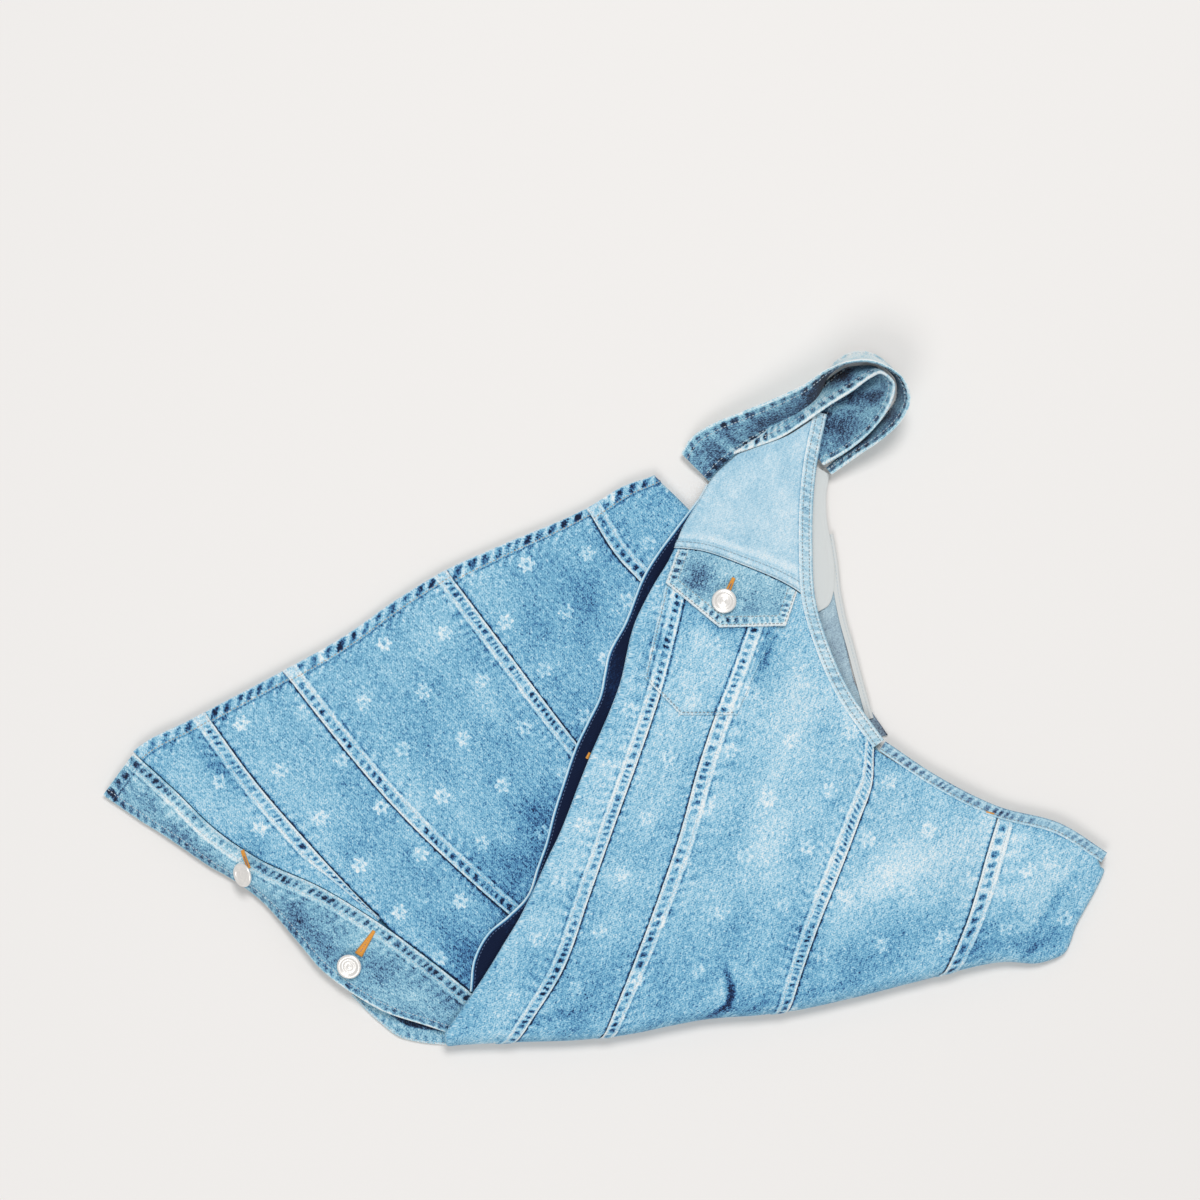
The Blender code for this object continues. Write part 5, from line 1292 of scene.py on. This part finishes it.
for seed, (name, sections, bow, face_tone, back_tone, shades) in enumerate(COLLAR_BANDS):
    table_line = curve(sections)
    rows = int(table_line.length / 2.0)
    line = table_line(np.linspace(0.0, 1.0, rows))
    rim, base = line[:, :3], line[:, 3:]
    side = unit(np.cross(np.gradient(rim + base, axis=0), rim - base))
    width = np.linalg.norm(rim - base, axis=1)[:, None]
    across = np.array([0, .012, .03, .06] + list(np.linspace(0.09, 0.91, 26)) + [.94, .97, .988, 1])
    arch = side * width * bow * 2
    grid = np.stack([base + (rim - base) * k + arch * k * (1 - k) for k in across], axis=1)
    strides = np.linalg.norm(np.diff(rim + base, axis=0), axis=1) / 2
    run = spread(np.concatenate(([0.0], np.cumsum(strides))), len(across))
    from_rim = width * (1 - across)[None, :]
    from_base = width * across[None, :]
    band = np.stack([run, from_base], axis=-1)
    half = BOUND_WALL / 2
    faces = []
    for way, base_tone, shift in ((1, face_tone, 0), (-1, back_tone, 40)):
        height = 0.5 * uneven(run, from_base, 12, 50 + seed)
        tone = base_tone + 0.34 * uneven(run, from_base, 13, 60 + seed + shift)
        share = run / run[-1, 0]
        for at, wide, low, strength in shades[shift > 0]:
            tone = tone + strength * bell(share - at, wide) * smooth_step((low - across[None, :]) / low)
        for t in (from_rim, from_base):
            dark = blocks(run, t, 8.0, 0.35, 800 + 10 * seed + shift)
            dark = dark * (0.5 + 0.9 * grain(run, t, 2.6, 830 + seed))
            window = band_of(t, 4.6, 3.2, 4)
            height = height - 0.3 * dark * window - 0.28 * bell(t - 6.8, 0.5)
            tone = tone - 0.40 * dark * window + 0.15 * window
            tone = tone + 0.50 * bell(t - 0.6, 1.2) + 0.06 * bell(t - 7.2, 1.0)
        thin = 1 - 0.65 * bell(np.minimum(from_rim, from_base), 0.7)
        faces.append((grid + normals(grid) * (way * (half * thin + height))[..., None], tone))
    (outer, tone), (inner, inner_tone) = faces
    sewn_sheet(name, outer, tone, {"point": grid, "cloth": band}, 0.0, collar_denim, rests_on="yoke",
               inner=inner, inner_tone=inner_tone, stride=1)
    lines = [line_on(outer, t, COLLAR_ROW) for t in (from_base, from_rim)]
    for t in (from_base, from_rim):
        path, lift = line_on(inner, t, COLLAR_ROW)
        lines.append((path, -lift))
    stitches(name + "_stitches", lines, pale_thread)


# ------------------------------------------------------------------ far half
# Of the far half of the bodice there shows the strip of its placket, dark inside and painted
# almost black as shadow, and in the armhole a white cotton inner yoke, a white facing and the
# inside of its side panel, painted a dull blue as shade.
FAR_PLACKET_SECTIONS = (
    # edge x, y, z, width
    (76, 161, 8.1, 12), (71, 152, 9.0, 13), (62, 140, 10.4, 15), (52, 127, 10.9, 18),
    (30, 95, 11.2, 22), (14, 56, 11.4, 25), (2, 33, 11.4, 26), (-1, 18, 11.4, 28),
    (-4, 3, 11.5, 28), (-13, -16, 11.6, 28), (-22, -35, 11.6, 27), (-32, -64, 11.8, 24),
    (-39, -86, 11.9, 22), (-44, -106, 12.0, 22), (-51, -126, 12.0, 22), (-58, -146, 12.0, 22),
    (-72, -161, 12.0, 24), (-88, -175, 11.8, 26), (-98, -194, 11.5, 25), (-101, -218, 11.2, 22),
)
FAR_PLACKET_ROWS = 300
FAR_PLACKET_LENGTH = 420.0
FAR_WARP = 70.0
FAR_PLACKET_RISE = ((0.0, 0.0), (0.35, 0.4), (0.7, 0.7), (1.0, 0.8))
FAR_DROP = ((0.0, 0.0), (0.4, 0.0), (0.8, 0.2), (1.0, 0.8))
FAR_YOKE_EDGE = ((168, 168), (165.5, 150), (166.5, 132), (170, 113), (172, 94), (171, 80), (167, 70),
                 (161, 66))
FAR_SIDE_EDGE = ((165, 96), (171, 84), (175, 66), (181, 38), (189, 8), (199, -8), (212, -27))
FAR_BINDING_EDGE = ((171, 124), (175, 98), (177, 80), (180, 64), (187, 38), (195, 8), (201, -14))
FAR_INNER_REACH = 9.0
FAR_SIDE_SHADE = 0.78             # the side panel is darker past this share of its run
FAR_NECK_POINT = (159, 178)
FAR_YOKE_POINT = (160, 66)
FAR_SIDE_POINT = (205, -24)
FAR_BINDING_WIDTH = 5.5
FAR_UNDERLAP = 0.10               # the side panel starts this far up under the yoke


def far_strip(inner, outer, edge_height, steps, fold):
    """A strip between two plan curves; its distance from the outer edge is kept."""
    at = np.linspace(0.0, 1.0, steps)
    start, end = inner(at), outer(at)
    u = np.concatenate((np.linspace(0, 0.86, 16), np.linspace(0.88, 1.0, 8)))[None, :]
    plan = start[:, None] * (1 - u[..., None]) + end[:, None] * u[..., None]
    z = np.repeat(edge_height - np.interp(u, *zip(*fold)), steps, axis=0)
    return piece_of(plan, z, down=spread(at * outer.length, u.shape[1]),
                    right=(1 - u) * np.linalg.norm(end - start, axis=1)[:, None])


cotton = speckled("white_yoke_cotton", (0.54, 0.57, 0.57), (0.72, 0.735, 0.72), 420.0, (0.0, 1.0),
                  {"Roughness": 0.9, "Specular IOR Level": 0.1}, 3.0)
inside_denim = denim("shaded_inner_face_denim", 0.0, 0.22, sheen=0.0)
# The far side panel's inside is painted a dull mid blue, as shade.
shaded_far_side_denim = denim("shaded_far_side_denim", 0.0, 0.45, 0.5, 0.49)
far_at = np.linspace(0.0, 1.0, FAR_PLACKET_ROWS)
table_line = curve(FAR_PLACKET_SECTIONS)(far_at)
inward = left_of(table_line[:, :2])
across = np.array([0, .02, .04, .07, .10, .14, .20, .27, .35, .45, .55, .65, .75, .85, .93, 1])[None, :]
plan = table_line[:, None, :2] + inward[:, None] * table_line[:, 3][:, None, None] * across[..., None]
strip = piece_of(plan, table_line[:, 2:3] + np.interp(across, *zip(*FAR_PLACKET_RISE)))
from_edge = table_line[:, 3:4] * across
run = spread(far_at * FAR_PLACKET_LENGTH, across.shape[1])
outer = raised(strip, 0.3 * bell(from_edge - 0.6, 0.7) + 0.25 * uneven(run, from_edge, 14, 81))
# Painted shadow: the strip is near black all over, as it lies in the shadow of the bodice, with a pale line
# along its free edge.
tone = 0.95 * bell(from_edge - 0.6, 1.05) + 0.04 * grain(run, from_edge, 9, 82) - 0.05
sewn_sheet("far_placket", outer, tone, strip, FAR_WARP, inside_denim, slot="dark_denim")
stitches("far_placket_stitches", [line_on(outer, from_edge, 3.2)], indigo_thread)

armhole = bodice_lines["armhole"]
under_arm = set_in(armhole, FAR_INNER_REACH, -1.0)
far_corner = meeting(armhole, FAR_YOKE_POINT)
far_edge = curve(FAR_BINDING_EDGE)
FAR_STRIPS = (
    # node, inner curve, outer curve, height of its edge, finish, slot, tone
    ("far_yoke", part_of(under_arm, meeting(armhole, FAR_NECK_POINT), far_corner), curve(FAR_YOKE_EDGE),
     5.4, cotton, "white_cotton", 0.8),
    ("far_side_panel", part_of(under_arm, far_corner - FAR_UNDERLAP, meeting(armhole, FAR_SIDE_POINT)),
     curve(FAR_SIDE_EDGE), 2.9, shaded_far_side_denim, "dark_denim", 0.45),
    ("far_armhole_binding", set_in(far_edge, FAR_BINDING_WIDTH, -1.0), far_edge,
     4.2, cotton, "white_cotton", 0.8),
)
far_sewing = []
for seed, (name, inner, outer_edge, high, finish, slot, base) in enumerate(FAR_STRIPS):
    strip = far_strip(inner, outer_edge, high, 120, FAR_DROP)
    t, run = strip["right"], strip["down"]
    height = 0.5 * uneven(run, t, 9, 90 + seed) + 0.35 * bell(t - 1.2, 1.0) - 0.35 * bell(t - 3.4, 0.7)
    # painted shade along the outer edge, where the strip turns down
    tone = base + 0.10 * uneven(run, t, 8, 95 + seed) - 0.16 * bell(t, 0.8)
    if name == "far_side_panel":
        tone = tone - 0.16 * smooth_step((run / run.max() - FAR_SIDE_SHADE) / 0.1)
    outer = raised(strip, height)
    sewn_sheet(name, outer, tone, strip, FAR_WARP, finish, slot=slot)
    if name == "far_armhole_binding":
        far_sewing.append(line_on(outer, t, 2.2))
stitches("far_armhole_stitches", far_sewing, pale_thread, radius=0.22)


# ------------------------------------------------------------------ under wrap
# The inner half of the skirt shows as a pale strip below the placket, in its shadow.
UNDER_WRAP_EDGE = ((-190, -222), (-169, -242), (-154, -253), (-139, -257), (-119.9, -259))
UNDER_WRAP_WIDTH = 15.0
UNDER_WRAP_TIP = 1.5
UNDER_WRAP_TAPER = 2.2
UNDER_WRAP_HEIGHT = 3.5
UNDER_WRAP_TONE = 0.54
wrap_edge = curve(UNDER_WRAP_EDGE)
at = np.linspace(0.0, 1.0, 90)
taper = UNDER_WRAP_TIP + (UNDER_WRAP_WIDTH - UNDER_WRAP_TIP) * smooth_step(at * UNDER_WRAP_TAPER)
edge = wrap_edge(at)
across = np.array([0, .03, .07, .12, .18, .25, .33, .42, .52, .62, .72, .82, .91, 1])[None, :]
plan = edge[:, None] + (left_of(edge) * taper[:, None])[:, None] * across[..., None]
t = taper[:, None] * across
strip = piece_of(plan, UNDER_WRAP_HEIGHT - 0.2 * bell(t, 0.8))
rise, shade = edge_marks(t, spread(at * wrap_edge.length, across.shape[1]), 331)
# Painted shadow: past 9.5 mm from its edge the strip darkens to black, under the placket.
tone = UNDER_WRAP_TONE * (1 - smooth_step((t - 9.5) / 1.6)) + shade
outer = raised(strip, 0.7 * rise)
sewn_sheet("under_wrap", outer, tone, strip, PLACKET_WARP, placket_denim, BOUND_WALL, "pale_denim")
stitches("under_wrap_stitches", [line_on(outer, t, 1.4)], pale_thread)


# ------------------------------------------------------------------ buttons
# Three shank buttons of pale metal, stamped with plain rings, stand in worked buttonholes
# sewn in orange thread. They fasten the placket and the pocket flap.
BUTTONS = (
    # node, x, y, way it leans in degrees, how far it leans
    ("button_hem", -267.0, -129.5, 198.0, 42.0),
    ("button_skirt", -190.0, -198.0, 230.0, 10.0),
    ("button_flap", 88.5, 74.0, 250.0, 6.0),
)
BUTTON_PROFILE = (
    # radius, height above the shank's foot
    (0.0, 5.35), (1.3, 5.3), (1.9, 4.95), (2.4, 4.9), (3.0, 5.25), (3.5, 5.3), (4.1, 4.95), (5.2, 4.85),
    (5.7, 5.2), (6.2, 5.6), (7.0, 5.75), (7.8, 5.65), (8.4, 5.2), (8.7, 4.6), (8.6, 4.1), (8.0, 3.6),
    (7.0, 3.35), (4.0, 3.1), (3.2, 2.6), (3.0, 0.0), (0.0, 0.0),
)
BUTTON_SIDES = 64
BUTTON_SIZE = 1.06
BUTTON_METAL = (0.94, 0.91, 0.87)
BAR_STEP = 0.62                   # from one bar of a buttonhole's sewing to the next
FAR_PLACKET_TOP = 12.2
BACK_TOP_START = 200.0            # past this x only the back's top edge has a buttonhole's bar
BUTTON_REACH = 3.0                # farther than this from the placket and flap is plain cloth
BUTTONHOLES = (
    # start x, y, end x, y, narrow width, wide width: the narrow end comes first
    (-271.0, -113.0, -265.5, -125.5, 3.8, 3.2), (-172.5, -173.0, -184.0, -190.5, 2.8, 7.0),
    (95.8, 90.5, 90.5, 79.0, 3.0, 4.8), (-11.5, -40.0, -13.5, -44.0, 2.2, 2.6),
    (285.0, -84.0, 291.0, -85.5, 1.2, 1.2),
)

button_finish = speckled("satin_nickel", [c * 0.8 for c in BUTTON_METAL], BUTTON_METAL, 260.0,
                         (0.35, 0.6), {"Metallic": 0.35, "Roughness": 0.32})


def surface_height(x, y):
    """Height of the cloth that shows on top at a place, from the sewn grids under it."""
    best = (math.inf, 0.0)
    for grid in (placket_outer, flap_outer):
        apart = np.linalg.norm(grid[..., :2] - np.array([x, y]), axis=2)
        spot = np.unravel_index(np.argmin(apart), apart.shape)
        best = min(best, (float(apart[spot]), float(grid[spot][2])))
    if best[0] > BUTTON_REACH:
        return float(bodice_height(x, y)) if x > BACK_TOP_START else FAR_PLACKET_TOP
    return best[1]


sweep = np.linspace(0, 2 * math.pi, BUTTON_SIDES, endpoint=False)
rings = BUTTON_PROFILE[1:-1]
turned_points = [(0, 0, BUTTON_PROFILE[0][1])]
turned_points += [(r * math.cos(a), r * math.sin(a), h) for r, h in rings for a in sweep]
turned_points.append((0, 0, 0))
foot_ring = 1 + (len(rings) - 1) * BUTTON_SIDES
after = [(k + 1) % BUTTON_SIDES for k in range(BUTTON_SIDES)]
button_faces = [(0, 1 + k, 1 + n) for k, n in enumerate(after)]
button_faces += [face[::-1] for face in tube_faces(1, len(rings), BUTTON_SIDES)]
button_faces += [(foot_ring + k, len(turned_points) - 1, foot_ring + n) for k, n in enumerate(after)]
for name, x, y, way, lean in BUTTONS:
    made = put(name + "_metal", np.array(turned_points) * BUTTON_SIZE, button_faces, button_finish)
    made.rotation_euler = (0.0, math.radians(lean), math.radians(way))
    made.location = (x * MM, y * MM, (surface_height(x, y) + 0.2) * MM)
    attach(made, "root")
    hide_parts(name)

orange_thread = thread("orange_thread", (0.92, 0.42, 0.075))
bars = []
slits = []
for x0, y0, x1, y1, narrow, wide in BUTTONHOLES:
    start = np.array([x0, y0])
    way = np.array([x1 - x0, y1 - y0])
    length = np.linalg.norm(way)
    side = np.array([-way[1], way[0]]) / length
    for k in range(int(length / BAR_STEP) + 1):
        share = k * BAR_STEP / length
        reach = side * (narrow + (wide - narrow) * share) / 2
        spot = start + way * share
        z = surface_height(*spot) + 0.5
        bars.append((np.array([(*(spot + reach), z), (*(spot - reach), z)]), np.tile(UPWARD, (2, 1))))
    ends = [start + way * share for share in (0.25, 0.95)]
    slit = np.array([(*spot, surface_height(*spot) + 0.85) for spot in ends])
    slits.append((slit, np.tile(UPWARD, (2, 1))))
stitches("buttonhole_stitches", bars, orange_thread, radius=0.42, whole=True)
# The indigo line down the middle of the first three buttonholes is painted shade in the cut slit.
stitches("buttonhole_slits", slits[:3], indigo_thread, radius=0.35, whole=True)


# ------------------------------------------------------------------ hidden layers
# Under the skirt lies its other half, and under the bodice lie the far half and the skirt,
# so the heap's edges show several sheets of cloth, each set in a little.
CORE_SKIRT = {
    "left": ((-366, -63), (-322, -94), (-286, -118), (-252, -136), (-218, -158), (-180, -186),
             (-140, -214), (-104, -240)),
    "right": ((30, 160), (56, 136), (150, 26), (250, -92), (318, -176)),
    "top": ((-366, -63), (-346, -40), (-304, -18), (-238, 17), (-154, 70), (-79, 108), (-16, 137),
            (30, 160)),
    "bottom": ((-104, -240), (-60, -240), (60, -226), (180, -206), (260, -186), (318, -176)),
}
CORE_BODICE = {
    "left": ((108, 174), (100, 150), (92, 112), (62, 66), (44, 20), (22, -46), (-2, -104),
             (-24, -150), (-50, -192), (-66, -226)),
    "right": ((140, 186), (144, 130), (145, 74), (156, 20), (184, -34), (244, -74), (300, -98), (348, -116),
              (354, -140), (336, -170)),
    "top": ((108, 174), (124, 180), (140, 186)),
    "bottom": ((-66, -226), (0, -222), (70, -212), (140, -206), (200, -196), (260, -184), (336, -170)),
}
LAYERS = (
    # name, edges, height of the cloth above, share of it, lowered by
    ("skirt_inner_half", CORE_SKIRT, skirt_height, 0.30, 0.0),
    ("skirt_inner_hem", CORE_SKIRT, skirt_height, 0.62, 0.4),
    ("bodice_inner_low", CORE_BODICE, bodice_height, 0.20, 0.0),
    ("bodice_inner_skirt", CORE_BODICE, bodice_height, 0.44, 0.0),
    ("bodice_inner_half", CORE_BODICE, bodice_height, 0.72, 0.4),
)
for seed, (name, edges, height, share, lower) in enumerate(LAYERS):
    left, right, top, bottom = (curve(edges[k]) for k in ("left", "right", "top", "bottom"))
    near = np.array([0.0, 0.006, 0.014, 0.026])
    steps = np.concatenate((near, np.linspace(0.04, 0.96, 60), 1 - near[::-1]))
    u, v = np.meshgrid(steps, steps)
    plan = patch(left, right, top, bottom, u, v)
    from_edge = np.minimum.reduce([u, 1 - u, v, 1 - v]) * 200
    x, y = plan[..., 0], plan[..., 1]
    z = np.maximum((height(x, y) - BOUND_WALL) * share - lower, WALL + 0.3)
    z = z - 0.5 * bell(from_edge, 2.0) + 0.3 * uneven(x, y, 22, 70 + seed)
    layer = piece_of(plan, z)
    # Painted shade: these layers are darker than the cloth over them, as they lie in its shadow, and paler
    # along their edges.
    tone = 0.40 + 0.3 * bell(from_edge, 2.0) + 0.12 * uneven(x, y, 12, 76 + seed)
    made = wall(name + "_cloth", layer["point"], tone, turned_cloth(layer, SKIRT_WARP), inside_denim)
    if seed == 0:
        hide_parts("hidden_layers")
